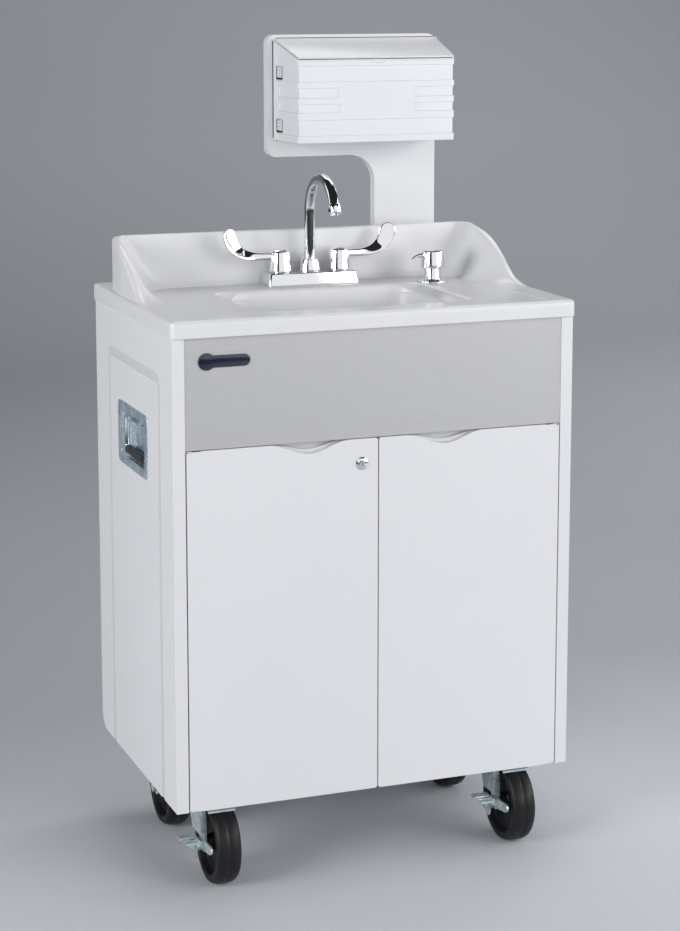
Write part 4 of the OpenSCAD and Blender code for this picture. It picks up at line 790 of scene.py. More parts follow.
def splash_height(y):
    """Height of the side splash's outline above the deck."""
    if y <= OGEE_Y0:
        return RIM_H
    if y <= OGEE_Y1:
        return RIM_H + HOLLOW_R - math.sqrt(HOLLOW_R ** 2 - (y - OGEE_Y0) ** 2)
    if y >= OGEE_Y2:
        return SPLASH_H
    return SPLASH_H - ROUND_R + math.sqrt(ROUND_R ** 2 - (OGEE_Y2 - y) ** 2)


def share(value, low, high):
    """How far a value is from low to high, between 0 and 1."""
    return min(1.0, max(0.0, (value - low) / (high - low)))


def splash_line(y):
    """How far out the side splash's outer face stands: 6 mm in, then 12 mm at the back."""
    return TOP_W / 2 - max(6.0, 1 + 11 * share(y, FRONT_Y + 226, SPLASH_BACK))


def foot_line(y):
    """How far out the foot of the side splash's inner slope is: 35 mm in, then 66 mm at the back."""
    return TOP_W / 2 - 35 - 31 * share(y, FRONT_Y + RIM_W - 1, SPLASH_BACK)


def front_stations():
    """From the front's middle round its right corner."""
    half, y0 = TOP_W / 2, FRONT_Y
    foot_x, foot_y = foot_line(y0 + RIM_W) - 4, y0 + RIM_W
    count = 36
    out = []
    for i in range(count):
        x = foot_x * (0.5 + i) / count
        out.append(((x, y0), (x, y0 + 6), (x, foot_y), RIM_H))
    middle_x, middle_y = half - RIM_ROUND, y0 + RIM_ROUND
    straight = TURN_STEPS * 0.3
    for i in range(TURN_STEPS + 1):
        if i < straight:
            x = foot_x + (middle_x - foot_x) * 2 * i / TURN_STEPS
            edge, line = (x, y0), (x, y0 + 6)
        else:
            b = math.radians(-90 + 90 * (i - straight) / (TURN_STEPS - straight))
            edge = (middle_x + RIM_ROUND * math.cos(b), middle_y + RIM_ROUND * math.sin(b))
            line = (middle_x + 2 * math.cos(b), middle_y + 2 * math.sin(b))
        a = math.radians(-90 + 90 * i / TURN_STEPS)
        out.append((edge, line, (foot_x + 4 * math.cos(a), foot_y + 4 + 4 * math.sin(a)), RIM_H))
    return out


def side_stations():
    """Along the right side to the start of the rear corner."""
    start = FRONT_Y + RIM_W + 4
    foot_end = SPLASH_BACK - SPLASH_FOOT - INNER_R
    out = []
    for i in range(1, SIDE_STEPS + 1):
        y = start + (SIDE_Y1 - start) * i / SIDE_STEPS
        out.append(((TOP_W / 2, y), (splash_line(y), y), (foot_line(y), min(y, foot_end)),
                    splash_height(y)))
    return out


def rear_stations():
    """Round the right rear corner to the back's middle."""
    half, turn, count = TOP_W / 2, 24, 40
    line_x, line_y = splash_line(SPLASH_BACK) - OUTER_R, SPLASH_BACK - OUTER_R
    foot_x, foot_y = foot_line(SIDE_Y1) - INNER_R, SPLASH_BACK - SPLASH_FOOT - INNER_R
    run = [Vector((half, SIDE_Y1)), Vector((half, BACK_Y - 5)), Vector((half - 5, BACK_Y)),
           Vector((foot_x, BACK_Y))]
    lengths = [(b - a).length for a, b in zip(run, run[1:])]
    out = []
    for i in range(1, turn + 1):
        left = sum(lengths) * i / turn
        for p, q, length in zip(run, run[1:], lengths):
            if left <= length + 1e-6:
                edge = p + (q - p) * left / length
                break
            left -= length
        c, s = math.cos(math.radians(90 * i / turn)), math.sin(math.radians(90 * i / turn))
        y = line_y + OUTER_R * s
        out.append((tuple(edge), (line_x + OUTER_R * c, y),
                    (foot_x + INNER_R * c, foot_y + INNER_R * s), splash_height(y)))
    for i in range(1, count + 1):
        t = 1 - i / (count + 0.5)
        out.append(((foot_x * t, BACK_Y), (line_x * t, SPLASH_BACK),
                    (foot_x * t, SPLASH_BACK - SPLASH_FOOT), SPLASH_H))
    return out


class Column:
    """One cross-section of the top: points from its outer edge over the splash and down into the basin.

    A station gives the outer edge, the splash's outer face, the foot of its slope and the height."""

    def __init__(self, edge, line, foot, height):
        self.edge, self.line, self.foot = Vector(edge), Vector(line), Vector(foot)
        self.height = height
        self.inward = (self.line - self.edge).normalized()
        self.across = (self.foot - self.line).normalized()
        self.far = (self.line - self.edge).length
        self.deck = self.foot + self.across * DECK_LEDGE
        self.way = (self.deck - BASIN).normalized()
        x, y = on_outline(*self.way, BASIN_HW, BASIN_HD, BASIN_R)
        side = share(abs(y), BASIN_HD, BAND_CORNER_Y) if abs(x) > 100 else 0.0
        self.side = side * side * (3 - 2 * side)
        self.dip = BAND_DIP * self.side
        self.points = []

    def put(self, at, z):
        """Adds a point at a place and a height."""
        self.points.append(Vector((at.x, at.y, z)))

    def lip(self):
        """Up the outer edge and over its rounding."""
        lip = sizes().lip_round
        inset = min(lip, self.far)
        self.put(self.edge + self.inward, CAB_TOP)
        self.put(self.edge, CAB_TOP + 1)
        for k in range(1, 4):
            self.put(self.edge, CAB_TOP + 1 + (LIP_Z - lip - CAB_TOP - 1) * k / 3)
        for a in (math.radians(15 * k) for k in range(1, 7)):
            self.put(self.edge + self.inward * inset * (1 - math.cos(a)),
                     LIP_Z - lip + lip * math.sin(a))

    def splash(self):
        """Up the splash's outer face, over its crown and down its hollow slope to the deck."""
        rise = self.height - RIM_H
        ease = min(1.0, rise / 12)
        width = (self.foot - self.line).length
        self.put(self.edge + self.inward * self.far * 0.5 if self.far > 14 else self.line, LIP_Z)
        self.put(self.line - self.across * (1.5 * ease if self.far > 8 else 0.0), LIP_Z)
        crown = min(CROWN, rise * 0.6)
        for k in range(5):
            self.put(self.line, LIP_Z + 1.2 * ease + (rise - crown - 1.2 * ease) * k / 4)
        for a in (math.radians(15 * k) for k in range(1, 7)):
            self.put(self.line + self.across * crown * (1 - math.cos(a)),
                     LIP_Z + rise - crown + crown * math.sin(a))
        flat_end = min(SPLASH_FLAT, width - 10)
        bend = CROWN_BEND * ease
        self.put(self.line + self.across * (flat_end - 1), LIP_Z + rise)
        for a in (math.radians(BEND_ANGLE * k) for k in range(1, 5)):
            x, fall = flat_end + bend * math.sin(a), bend * (1 - math.cos(a))
            self.put(self.line + self.across * x, LIP_Z + rise - fall)
        drop = self.height - fall - COVE_STEP
        for k in range(1, 17):
            reach = x + (width - 1.0 - x) * (1 - (1 - k / 16) ** COVE_POWER)
            self.put(self.line + self.across * reach, DECK_Z + COVE_STEP + drop * (1 - k / 16))
        self.put(self.line + self.across * (width - 0.4), DECK_Z + COVE_STEP * 0.55)
        self.put(self.foot, DECK_Z)
        self.put(self.deck, DECK_Z)

    def basin_point(self, grow, radius, z):
        """A point on the basin's mouth outline, grown by a distance."""
        reach = on_outline(*self.way, BASIN_HW + grow, BASIN_HD + grow, radius)
        self.put(BASIN + Vector(reach), z)

    def band(self, mouth_r):
        """Over the deck and down the sloped band to the basin's mouth."""
        outer = BASIN + Vector(on_outline(*self.way, BASIN_HW + BAND_OUT + BAND_SIDE * self.side,
                                          BASIN_HD + BAND_OUT, BASIN_R + 2 - 30 * self.side))
        grow = mouth_r * MOUTH_OUT
        mouth = BASIN + Vector(on_outline(*self.way, BASIN_HW + grow, BASIN_HD + grow, MOUTH_CORNER))
        self.put(outer + (self.deck - outer).normalized(), DECK_Z)
        self.put(outer, DECK_Z)
        for across, drop in BAND_SLOPE:
            self.put(outer.lerp(mouth, across), DECK_Z - self.dip * drop)

    def basin(self, mouth_r):
        """Round the mouth, down the drafted walls and over the fillet to the floor."""
        for k in range(1, MOUTH_STEPS + 1):
            a = math.radians(MOUTH_ANGLE * k)
            grow = mouth_r * MOUTH_OUT - mouth_r * math.sin(a) * MOUTH_REACH
            z = DECK_Z - self.dip - mouth_r * (1 - math.cos(a))
            self.basin_point(grow, MOUTH_CORNER + (BASIN_R - MOUTH_CORNER) * k / MOUTH_STEPS, z)
        foot_in = -BASIN_DRAFT * WALL_IN
        foot_z = DECK_Z - BASIN_DEEP + BASIN_FILLET
        for u in (k / 5 for k in range(1, 6)):
            self.basin_point(grow + (foot_in - grow) * u, BASIN_R + (FOOT_CORNER - BASIN_R) * u,
                            z + (foot_z - z) * u)
        for k in range(1, 9):
            a = math.radians(90 * k / 8)
            self.basin_point(foot_in - BASIN_FILLET * (1 - math.cos(a)) * FILLET_IN,
                            FOOT_CORNER + 0.2 * k, foot_z - BASIN_FILLET * math.sin(a))
        for radius in FLOOR_RINGS:
            self.put(BASIN + self.way * radius, DECK_Z - BASIN_DEEP)

    def underside(self):
        """Back out under the floor, up the basin's outer wall and under the deck to the edge."""
        under = DECK_Z - BASIN_DEEP - FLOOR_T
        self.put(BASIN + self.way * FLOOR_RINGS[-1], under)
        for grow, radius, z in ((-40, 30, under), (-BASIN_DRAFT - 6, 33, under),
                                (-BASIN_DRAFT + 4, 36, under + 13), (-2, 44, UNDER_Z - 4),
                                (4, 48, UNDER_Z)):
            self.basin_point(grow, radius, z)
        inner = self.edge + (self.inward if self.far > 14 else self.across) * UNDER_IN
        self.put(inner, UNDER_Z)
        self.put(inner, CAB_TOP)


def top_rings():
    """Rings of the moulded top, each a closed ring of points through all stations."""
    right = front_stations() + side_stations() + rear_stations()
    left = [tuple((-x, y) for x, y in places) + (height,) for *places, height in reversed(right)]
    mouth_r = sizes().mouth_round
    columns = []
    for station in right + left:
        column = Column(*station)
        column.lip()
        column.splash()
        column.band(mouth_r)
        column.basin(mouth_r)
        column.underside()
        columns.append(column.points)
    return [list(ring) for ring in zip(*columns)]


class SINK_OT_top(bpy.types.Operator):
    """Make the one-piece top with its splash and basin, and the drain"""

    bl_idname = "sink.top"
    bl_label = "Moulded top"

    def execute(self, context):
        bm = bmesh.new()
        loft(bm, top_rings(), caps=False, close=True)
        tidy(bm, 0.004)
        finished("Moulded_Top", bm, "top", "countertop", 40)
        dressed("basin_drain", "chrome", 0.5)
        return {"FINISHED"}


# Faucet and soap pump

FAUCET = Vector((10.0, FRONT_Y + 337.0, DECK_Z))
PLATE_TOP = FAUCET.z + 21.0
HANDLE_SIDE, BLADE_UP = 50.8, 26.5
SPOUT_R, SPOUT_BEND, SPOUT_RISE = 8.5, 59.0, 118.0
SPOUT_SWEEP = math.radians(158)
SOAP = Vector((209.0, FRONT_Y + 292.0, DECK_Z))
DECK_T = 10.0

# The deck plate's sections: height, width, depth and corner radius
PLATE_SECTIONS = ((0, 155.6, 49.6, 5), (0.4, 156, 50, 5), (2.4, 156, 50, 5), (3.2, 155.7, 49.7, 5),
                  (19, 149.2, 43.2, 5), (20.2, 148.4, 42.4, 4.6), (20.8, 147.4, 41.4, 4.2),
                  (21, 146.2, 40.2, 3.8))

# A wrist blade from its hub outwards: reach, rise, half width, half thickness, twist and pitch
BLADE = ((12.0, 0.0, 5.2, 3.4, 82, 0), (36.0, 0.0, 5.8, 3.0, 80, 0), (52.5, 1.9, 7.6, 2.5, 66, 12),
         (65.7, 6.6, 9.4, 2.1, 60, 32), (75.8, 14.1, 11.3, 1.9, 65, 52), (82.3, 23.5, 12.7, 1.8, 68, 68),
         (85.8, 33.8, 13.3, 1.8, 68, 80))
BLADE_TIP, BLADE_COUNT = 13.5, 36

# The soap nozzle's spine from the head outwards: reach, height and radius
NOZZLE = ((-10, 20.6, 4.6), (-19, 20.4, 4.0), (-26.5, 19.6, 3.3), (-31.5, 17.6, 2.8), (-36.0, 13.6, 2.4))


def smooth_through(knots, steps):
    """Rows of numbers on one smooth run through the knots."""
    out = []
    last = len(knots) - 1
    for i in range(last):
        rows = [knots[max(0, min(last, i + k))] for k in (-1, 0, 1, 2)]
        for t in (s / steps for s in range(steps)):
            row = []
            for p, q, r, w in zip(*rows):
                bend = 2 * p - 5 * q + 4 * r - w + t * (3 * (q - r) + w - p)
                row.append(q + 0.5 * t * (r - p + t * bend))
            out.append(row)
    out.append(list(knots[-1]))
    return out


def blade_rings(hub, side):
    """Rings of a wrist blade that reaches to one side of its hub and ends in a round tip."""
    rows = smooth_through(BLADE, 6)
    x, z, half, thick, twist, pitch = BLADE[-1]
    p = math.radians(pitch)
    for a in (math.radians(90 * k / 8) for k in range(1, 9)):
        shrink, reach = max(0.06, math.cos(a)), BLADE_TIP * math.sin(a)
        rows.append([x + reach * math.cos(p), z + reach * math.sin(p),
                     half * shrink, thick * max(0.3, math.sqrt(shrink)), twist, pitch])
    rings = []
    for x, z, half, thick, twist, pitch in rows:
        t, p = math.radians(twist), math.radians(pitch)
        wide = Vector((-math.sin(p) * math.sin(t), math.cos(t), math.cos(p) * math.sin(t))) * half
        deep = Vector((-math.sin(p) * math.cos(t), -math.sin(t), math.cos(p) * math.cos(t))) * thick
        ring = []
        for a in (2 * math.pi * k / BLADE_COUNT for k in range(BLADE_COUNT)):
            c, s = math.cos(a), math.sin(a)
            v = wide * math.copysign(abs(c) ** 0.7, c) + deep * math.copysign(abs(s) ** 0.5, s)
            ring.append(Vector((hub.x + side * (x + v.x), hub.y + v.y, hub.z + z + v.z)))
        rings.append(ring)
    return rings


def raised(points, z):
    """Points of a plane, put at a height."""
    return [Vector((p[0], p[1], z)) for p in points]


def moved(points, x, y):
    """Points of a plane, moved in it."""
    return [Vector((p[0] + x, p[1] + y)) for p in points]


def deck_plate():
    """The faucet's plate with leaning walls and a rounded top."""
    bm = bmesh.new()
    loft(bm, [raised(moved(round_rect(w, d, r), FAUCET.x, FAUCET.y), FAUCET.z + z)
              for z, w, d, r in PLATE_SECTIONS])
    tidy(bm)
    finished("Faucet_Base", bm, "chrome", "faucet_plate", 30)


def faucet_handle(node, side):
    """A handle: a turned hub with its cap, and a wrist blade that sweeps up to one side."""
    hub = Vector((FAUCET.x + side * HANDLE_SIDE, FAUCET.y, PLATE_TOP))
    bm = bmesh.new()
    lathe(bm, [(0, 0.4), (17.0, 0.4), (17.3, 0.8), (17.3, 2.0), (18.4, 2.4), (19, 3.0), (18.9, 4.6),
               (16.1, 32.0), (15.6, 33.3), (14.6, 34.0), (13.6, 34.0), (13.2, 33.5), (12.7, 34.0),
               (12.2, 35.2), (10.4, 36.3), (7.0, 36.9), (3.0, 37.0), (0, 37.0)], hub)
    loft(bm, blade_rings(hub + Vector((0, 0, BLADE_UP)), side))
    tidy(bm)
    finished(node.title() + "_Lever", bm, "chrome", node, 32)


def spout():
    """The spout's collar, its gooseneck and the aerator at its end."""
    turned("Spout_Collar",
           [(8.8, 0), (17.4, 0), (17.8, 0.5), (17.8, 2.2), (17.3, 2.8), (14.9, 18.4), (14.5, 19.8),
            (13.4, 20.8), (12.2, 21), (9.8, 21), (9.0, 20.6), (8.8, 19.8), (8.8, 0)],
           Vector((FAUCET.x, FAUCET.y, PLATE_TOP)), "chrome", "spout_collar")

    foot_z = PLATE_TOP + 0.5
    centre = Vector((FAUCET.x, FAUCET.y - SPOUT_BEND, FAUCET.z + SPOUT_RISE))
    path = [Vector((FAUCET.x, FAUCET.y, foot_z + (centre.z - foot_z) * k / 8)) for k in range(8)]
    path += [centre + Vector((0, math.cos(a), math.sin(a))) * SPOUT_BEND
             for a in (SPOUT_SWEEP * k / 56 for k in range(57))]
    bm = bmesh.new()
    loft(bm, tube_rings(path, SPOUT_R, 40))
    tidy(bm)
    finished("Gooseneck", bm, "chrome", "gooseneck", 40)

    turned("Aerator",
           [(0, 0.2), (9.0, 0.2), (9.0, 0.9), (10.2, 1.0), (11, 1.7), (11, 3.4), (10.5, 3.7),
            (10.5, 4.3), (11, 4.6), (11, 13.6), (10.5, 15.3), (9.8, 16), (8.5, 16), (8.2, 15.6),
            (8.2, 13.6), (7.2, 13.6), (7.0, 14.3), (6.0, 14.3), (5.8, 13.6), (4.8, 13.6), (4.6, 14.3),
            (3.6, 14.3), (3.4, 13.6), (2.4, 13.6), (2.2, 14.3), (0, 14.3)],
           path[-1], "chrome", "aerator", axis=(0, -math.sin(SPOUT_SWEEP), math.cos(SPOUT_SWEEP)))


def soap_pump():
    """The pump's collar with its nut under the deck, and its head with the nozzle."""
    low, under = node_box("soap_collar")[0].z - SOAP.z, -DECK_T
    turned("Soap_Collar",
           [(6.3, low), (13.2, low), (14, low + 0.8), (14, under - 8), (23, under - 8),
            (24, under - 7), (24, under - 1), (23, under), (14, under), (14, 0), (24.4, 0),
            (24.9, 0.5), (24.8, 1.2), (23.4, 2.0), (19.2, 2.9), (16.4, 3.5), (14.8, 4.4),
            (14.2, 5.6), (14.2, 26.4), (13.8, 27), (6.3, 27), (6.3, low)],
           SOAP, "chrome", "soap_collar")

    head = Vector((SOAP.x, SOAP.y, node_box("soap_head")[0].z))
    bm = bmesh.new()
    lathe(bm, [(0, 17), (15.8, 17), (15.8, 0.4), (16.2, 0), (18.9, 0), (19.4, 0.5), (19.4, 1.6),
               (18.3, 24.6), (17.9, 26.9), (17.0, 28.2), (15.4, 28.7), (10, 28.9), (5, 29), (0, 29)],
          head)
    spine = smooth_through(NOZZLE, 5)
    loft(bm, tube_rings([head + Vector((x, 0, z)) for x, z, r in spine], [r for x, z, r in spine], 20))
    tidy(bm)
    finished("Soap_Head", bm, "chrome", "soap_head", 32)


class SINK_OT_fittings(bpy.types.Operator):
    """Make the faucet, its handles and spout, and the soap pump"""

    bl_idname = "sink.fittings"
    bl_label = "Faucet and soap pump"

    def execute(self, context):
        deck_plate()
        for node, side in (("hot_handle", -1), ("cold_handle", 1)):
            faucet_handle(node, side)
        spout()
        soap_pump()
        for node, look in (("faucet_shanks", "brass"), ("soap_bottle", "bottle"),
                           ("soap_piston", "chrome")):
            dressed(node, look, 0.4)
        return {"FINISHED"}


# Board and towel box

BOARD_Y = node_box("tower_board")[0].y
BOX_LOW, BOX_HIGH = node_box("towel_box")
BOX_W = BOX_HIGH.x - BOX_LOW.x
BOX_DEEP = BOARD_Y - BOX_LOW.y
BOX_MIDDLE = (BOX_LOW.x + BOX_HIGH.x) / 2
BOX_TAPER, BOX_WALL = 8.0, 3.0
BOX_FRONT_H, BOX_BACK_H = 139.0, 168.0
BOX_SLOPE = (BOX_BACK_H - BOX_FRONT_H) / BOX_DEEP
SLOT_Y, SLOT_HW, SLOT_HD, SLOT_R = BOX_LOW.y + 43.0, 100.0, 13.0, 12.0
LID_T, LID_GAP, LID_STEP, LID_SIDE = 3.0, 0.9, 5.4, 0.4
HINGE = Vector((0, BOARD_Y - 4.1, BOX_LOW.z + BOX_BACK_H - 4.3))
HINGE_R, PIN_R, PIN_GAP = 3.5, 2.0, 0.3

# Bands sunk in the walls, by height: long ones, short ones round the corners, and the clips' pockets
LONG_BANDS = ((11.5, 37.0), (99.0, 124.5))
SHORT_BANDS = ((49.0, 63.0), (73.0, 89.0))
CLIP_BANDS = ((13.0, 36.0), (100.0, 123.0))
BAND_DEEP, POCKET_DEEP, SEAM_DEEP = 2.2, 2.2, 1.0
SHORT_BAND, NOTCH_HALF = 72.0, 13.0
CLIP_FAR = (12.0, 34.0)

# How far from the board each station of a side wall stands, the heights that the seam under the lid
# turns at, where the front notch starts, and where the walls start to follow the lid's slope
SIDE_FAR = (6, 11.5, 12.5, 19.5, 20.5, 33.5, 34.5, 50, 66, 82, 92)
SEAM_LEVELS = (131.6, 132.2, 132.8, 133.4)
NOTCH_Z, SLOPE_Z = 129.0, 126.0
BOX_CORNER_R = 4.0

# A clip and its place in its pocket, its three bars, and the pocket with its side and foot, which are
# dark sheets of painted shadow
CLIP_W, CLIP_H, CLIP_T, CLIP_X, CLIP_Z = 16.6, 18.4, 2.1, 1.7, 1.3
BAR_W, BAR_H, BAR_T, BAR_STEP, BAR_X = 9.0, 3.0, 3.2, 5.4, -0.6
POCKET_W, POCKET_H, POCKET_SIDE, POCKET_FOOT, POCKET_T = 20.4, 21.6, 3.2, 1.9, 0.3
# The seam behind the box, a dark sheet of painted shadow: how much wider and taller than the box it is,
# its corner radius and its thickness
SEAM_W, SEAM_H, SEAM_R, SEAM_T = 2.8, 6.0, 8.0, 0.6


def box_top(y):
    """Height of the lid's upper face above the box's floor at a place between front and back."""
    return BOX_FRONT_H + BOX_SLOPE * (y - BOX_LOW.y)


def box_half():
    """Left half of the box's outline from the back: place, way in, then which marks it carries."""
    back_corner = Vector((BOX_LOW.x, BOARD_Y))
    corner = Vector((BOX_LOW.x + BOX_TAPER, BOX_LOW.y))
    forward = Vector((0, 1))
    out = [(Vector((x, BOARD_Y)), -forward, "") for x in (BOX_MIDDLE - 60, BOX_LOW.x + 20)]
    out.append((back_corner, Vector((1, -1)), "corner"))
    along = (corner - back_corner).normalized()
    inward = Vector((-along.y, along.x))
    for far in SIDE_FAR:
        marks = ("long short " if far > 20 else "") + ("clip" if inside(far, [CLIP_FAR]) else "")
        out.append((back_corner + along * far, inward, marks))
    arc = fillet_path([back_corner, (*corner, BOX_CORNER_R), (BOX_MIDDLE, corner.y)], 5)[1:-1]
    middle = (arc[0] + arc[-1]) / 2 + (inward + forward).normalized() * 3.2
    out += [(p, (middle - p).normalized(), "long short") for p in arc]
    short_end, notch = corner.x + SHORT_BAND, BOX_MIDDLE - NOTCH_HALF
    for places, marks in (((corner.x + 12, corner.x + 40, short_end - 0.5), "long short seam"),
                          ((short_end + 0.5, BOX_MIDDLE - 40, notch - 0.4), "long seam"),
                          ((notch + 0.4, BOX_MIDDLE - 5), "long seam notch")):
        out += [(Vector((x, corner.y)), forward, marks) for x in places]
    return out


def inside(value, bands):
    """Whether a value lies in one of the bands."""
    return any(low < value < high for low, high in bands)


def towel_walls(bm):
    """The box's four walls as rings of points, with bands, clip pockets, the lid's seam and a notch."""
    half = box_half()
    stations = half + [(Vector((2 * BOX_MIDDLE - p.x, p.y)), Vector((-n.x, n.y)), marks)
                       for p, n, marks in reversed(half)]
    edges = [e for band in LONG_BANDS + SHORT_BANDS + CLIP_BANDS for e in band] + [NOTCH_Z]
    levels = sorted([0.6, *SEAM_LEVELS] + [e + d for e in edges for d in (-0.35, 0.35)])
    rim = BOX_FRONT_H - LID_T - LID_GAP

    def depth(level, marks):
        """How deep the wall is sunk at a height."""
        sunk = ("long" in marks and inside(level, LONG_BANDS)
                or "short" in marks and inside(level, SHORT_BANDS)
                or "notch" in marks and level > NOTCH_Z)
        deep = BAND_DEEP if sunk else 0.0
        if "clip" in marks and inside(level, CLIP_BANDS):
            deep = POCKET_DEEP
        if "seam" in marks and 132 < level < 133:
            deep += SEAM_DEEP
        return deep

    def ring(level, inset, fall=0.0):
        out = []
        for p, n, marks in stations:
            top = box_top(p.y) - LID_T - LID_GAP
            if n.y < -0.9:
                top = HINGE.z - BOX_LOW.z - HINGE_R - 0.8
            z = level
            if level >= SLOPE_Z:
                z = SLOPE_Z + (level - SLOPE_Z) * (top - SLOPE_Z) / (rim - SLOPE_Z)
            at = p + n * (max(depth(level, marks), inset) if inset < BOX_WALL else inset)
            out.append(Vector((at.x, at.y, BOX_LOW.z + z - fall)))
        return out

    rings = [ring(0.0, 0.6)] + [ring(level, 0.0) for level in levels]
    rings += [ring(rim, 0.0, 0.6), ring(rim, 0.5), ring(rim, BOX_WALL - 0.1), ring(rim, BOX_WALL, 0.5),
              ring(60.0, BOX_WALL), ring(0.0, BOX_WALL)]
    loft(bm, rings, caps=False, close=True)
    return stations


def towel_box():
    """The open box: walls, a floor with the slot for the towels, and the hinge's side discs."""
    bm = bmesh.new()
    floor_z = BOX_LOW.z + 0.2
    rim = raised([p + n * BOX_WALL for p, n, marks in towel_walls(bm)], floor_z)
    middle = Vector((BOX_MIDDLE, SLOT_Y))
    ways = [(p.xy - middle).normalized() for p in rim]
    hole = raised([middle + Vector(on_outline(*way, SLOT_HW, SLOT_HD, SLOT_R)) for way in ways], floor_z)
    up = Vector((0, 0, BOX_WALL))
    loft(bm, [rim, hole, [p + up for p in hole], [p + up for p in rim]], caps=False, close=True)
    for x in (BOX_LOW.x, BOX_HIGH.x - BOX_WALL):
        lathe(bm, [(0, 0), (HINGE_R, 0), (HINGE_R, BOX_WALL), (0, BOX_WALL)], HINGE + Vector((x, 0, 0)),
              (1, 0, 0), 32)
    tidy(bm)
    finished("Towel_Box", bm, "box", "towel_box", 32)


def towel_box_lid():
    """The sloped lid, narrower beside its hinge, with the hinge's knuckle and pins."""
    left, right, front = BOX_LOW.x + LID_SIDE, BOX_HIGH.x - LID_SIDE, BOX_LOW.y + 0.2
    inner = BOX_WALL + LID_SIDE
    step = HINGE.y - LID_STEP
    outline = fillet_path([
        (left + inner, HINGE.y), (left + inner, step), (left + 0.7, step),
        (left + BOX_TAPER, front, BOX_CORNER_R), (right - BOX_TAPER, front, BOX_CORNER_R),
        (right - 0.7, step), (right - inner, step), (right - inner, HINGE.y)], 5, True)
    bm = bmesh.new()
    plate(bm, outline, LID_T, Matrix())
    for v in bm.verts:
        v.co.z += BOX_LOW.z + box_top(v.co.y) - LID_T
    bmesh.ops.recalc_face_normals(bm, faces=bm.faces)
    soften(bm, 0.9, 3, 40)
    length = BOX_W - 2 * inner
    pin = inner - PIN_GAP
    lathe(bm, [(0, -pin), (PIN_R, -pin), (PIN_R, 0), (HINGE_R, 0), (HINGE_R, length), (PIN_R, length),
               (PIN_R, length + pin), (0, length + pin)],
          HINGE + Vector((BOX_LOW.x + inner, 0, 0)), (1, 0, 0), 32)
    tidy(bm)
    finished("Towel_Box_Lid", bm, "lid", "towel_box_lid", 32)


def towel_box_clips():
    """The clips in the side walls, and dark sheets of painted shadow in the pockets round them and in the
    seam behind the box.
    """
    clips, dark = bmesh.new(), bmesh.new()
    slant = BOX_TAPER / BOX_DEEP
    far = sum(CLIP_FAR) / 2
    for side, face in ((-1, BOX_LOW.x), (1, BOX_HIGH.x)):
        for band in CLIP_BANDS:
            at = (face - side * (slant * far + POCKET_DEEP), BOARD_Y - far, BOX_LOW.z + sum(band) / 2)
            frame = axes((-side * slant, -1, 0), (0, 0, 1), (side, -slant, 0), at)
            # Dark sheets on the pocket's floor, back side and foot: painted shadow where the open slot's
            # shade falls
            plate(dark, round_rect(POCKET_W, POCKET_H, 1.0, 3), POCKET_T, frame)
            edge = moved(round_rect(POCKET_SIDE, POCKET_H, 0.5, 2), (POCKET_SIDE - POCKET_W) / 2, 0)
            plate(dark, edge, POCKET_DEEP + 0.1, frame)
            edge = moved(round_rect(POCKET_W, POCKET_FOOT, 0.5, 2), 0, (POCKET_FOOT - POCKET_H) / 2)
            plate(dark, edge, POCKET_DEEP + 0.1, frame)
            frame.translation.x += side * POCKET_T
            clip = bmesh.new()
            plate(clip, moved(round_rect(CLIP_W, CLIP_H, 1.2, 3), CLIP_X, CLIP_Z), CLIP_T, frame)
            for k in (-1, 0, 1):
                bar = moved(round_rect(BAR_W, BAR_H, 1.0, 3), BAR_X, CLIP_Z + BAR_STEP * k)
                plate(clip, bar, BAR_T, frame)
            for f in clip.faces:
                if abs(f.calc_center_median().x - frame.translation.x) > (CLIP_T + BAR_T) / 2:
                    f.material_index = 1
            bmesh.ops.recalc_face_normals(clip, faces=clip.faces)
            soften(clip, 0.35, 2, 40)
            join(clips, clip)
    # A dark sheet behind the box, a little larger than it: painted shadow for the gap between the box and
    # the board
    tall = HINGE.z - BOX_LOW.z
    seam = moved(round_rect(BOX_W + SEAM_W, tall + SEAM_H, SEAM_R), BOX_MIDDLE,
                 BOX_LOW.z + tall / 2 + SEAM_H / 4)
    plate(dark, seam, SEAM_T, axes((1, 0, 0), (0, 0, 1), (0, 1, 0), (0, BOARD_Y - SEAM_T - 0.1, 0)))
    bmesh.ops.recalc_face_normals(dark, faces=dark.faces)
    finished("Box_Clips", clips, "clip box", "towel_box_clips", 32)
    finished("Box_Seam_Painted_Shadows", dark, "dark", "towel_box", slot="box_plastic")


class SINK_OT_tower(bpy.types.Operator):
    """Make the board behind the top and the towel box on it"""

    bl_idname = "sink.tower"
    bl_label = "Board and towel box"

    def execute(self, context):
        dressed("tower_board", "laminate", 2.5, 4)
        towel_box()
        towel_box_lid()
        towel_box_clips()
        return {"FINISHED"}


# Handles and lock

BAIL_R, BAIL_HALF, BAIL_DROP, BAIL_TURN = 3.5, 56.0, 52.0, 6.0
BAIL_X, BAIL_Z = SKIN_X - 5.0, DISH_Z + 27.0
GRIP_R, GRIP_HALF, GRIP_RIBS, GRIP_END = 7.0, 44.0, 13, 4.0
DISH_FLOOR_X = SKIN_X - 14.0
RIVET_OUT, RIVET_IN_Y, RIVET_IN_Z = 0.9, 7.0, 5.0
RIVETS_TOP, RIVETS_FOOT, RIVETS_END_Z = 7, 6, (-15, 18)
FLOOR_RIVETS_Y, FLOOR_RIVETS_Z = (-45, -15, 15, 45), 20.0
LOCK_R, LOCK_BODY_R, PLUG_HOLE_R = 10.0, 8.0, 6.05
LOCK_PROUD, DOME_H, DOME_FALL = 2.0, 4.0, 3.3


def rivet(bm, at, axis, r=2.4, high=1.1):
    """A rivet's round head, its foot a little under the face."""
    lathe(bm, [(0, -0.2), (r, -0.2), (r, 0), (r * 0.97, high * 0.35), (r * 0.8, high * 0.75),
               (r * 0.45, high), (0, high)], at, axis, 16)


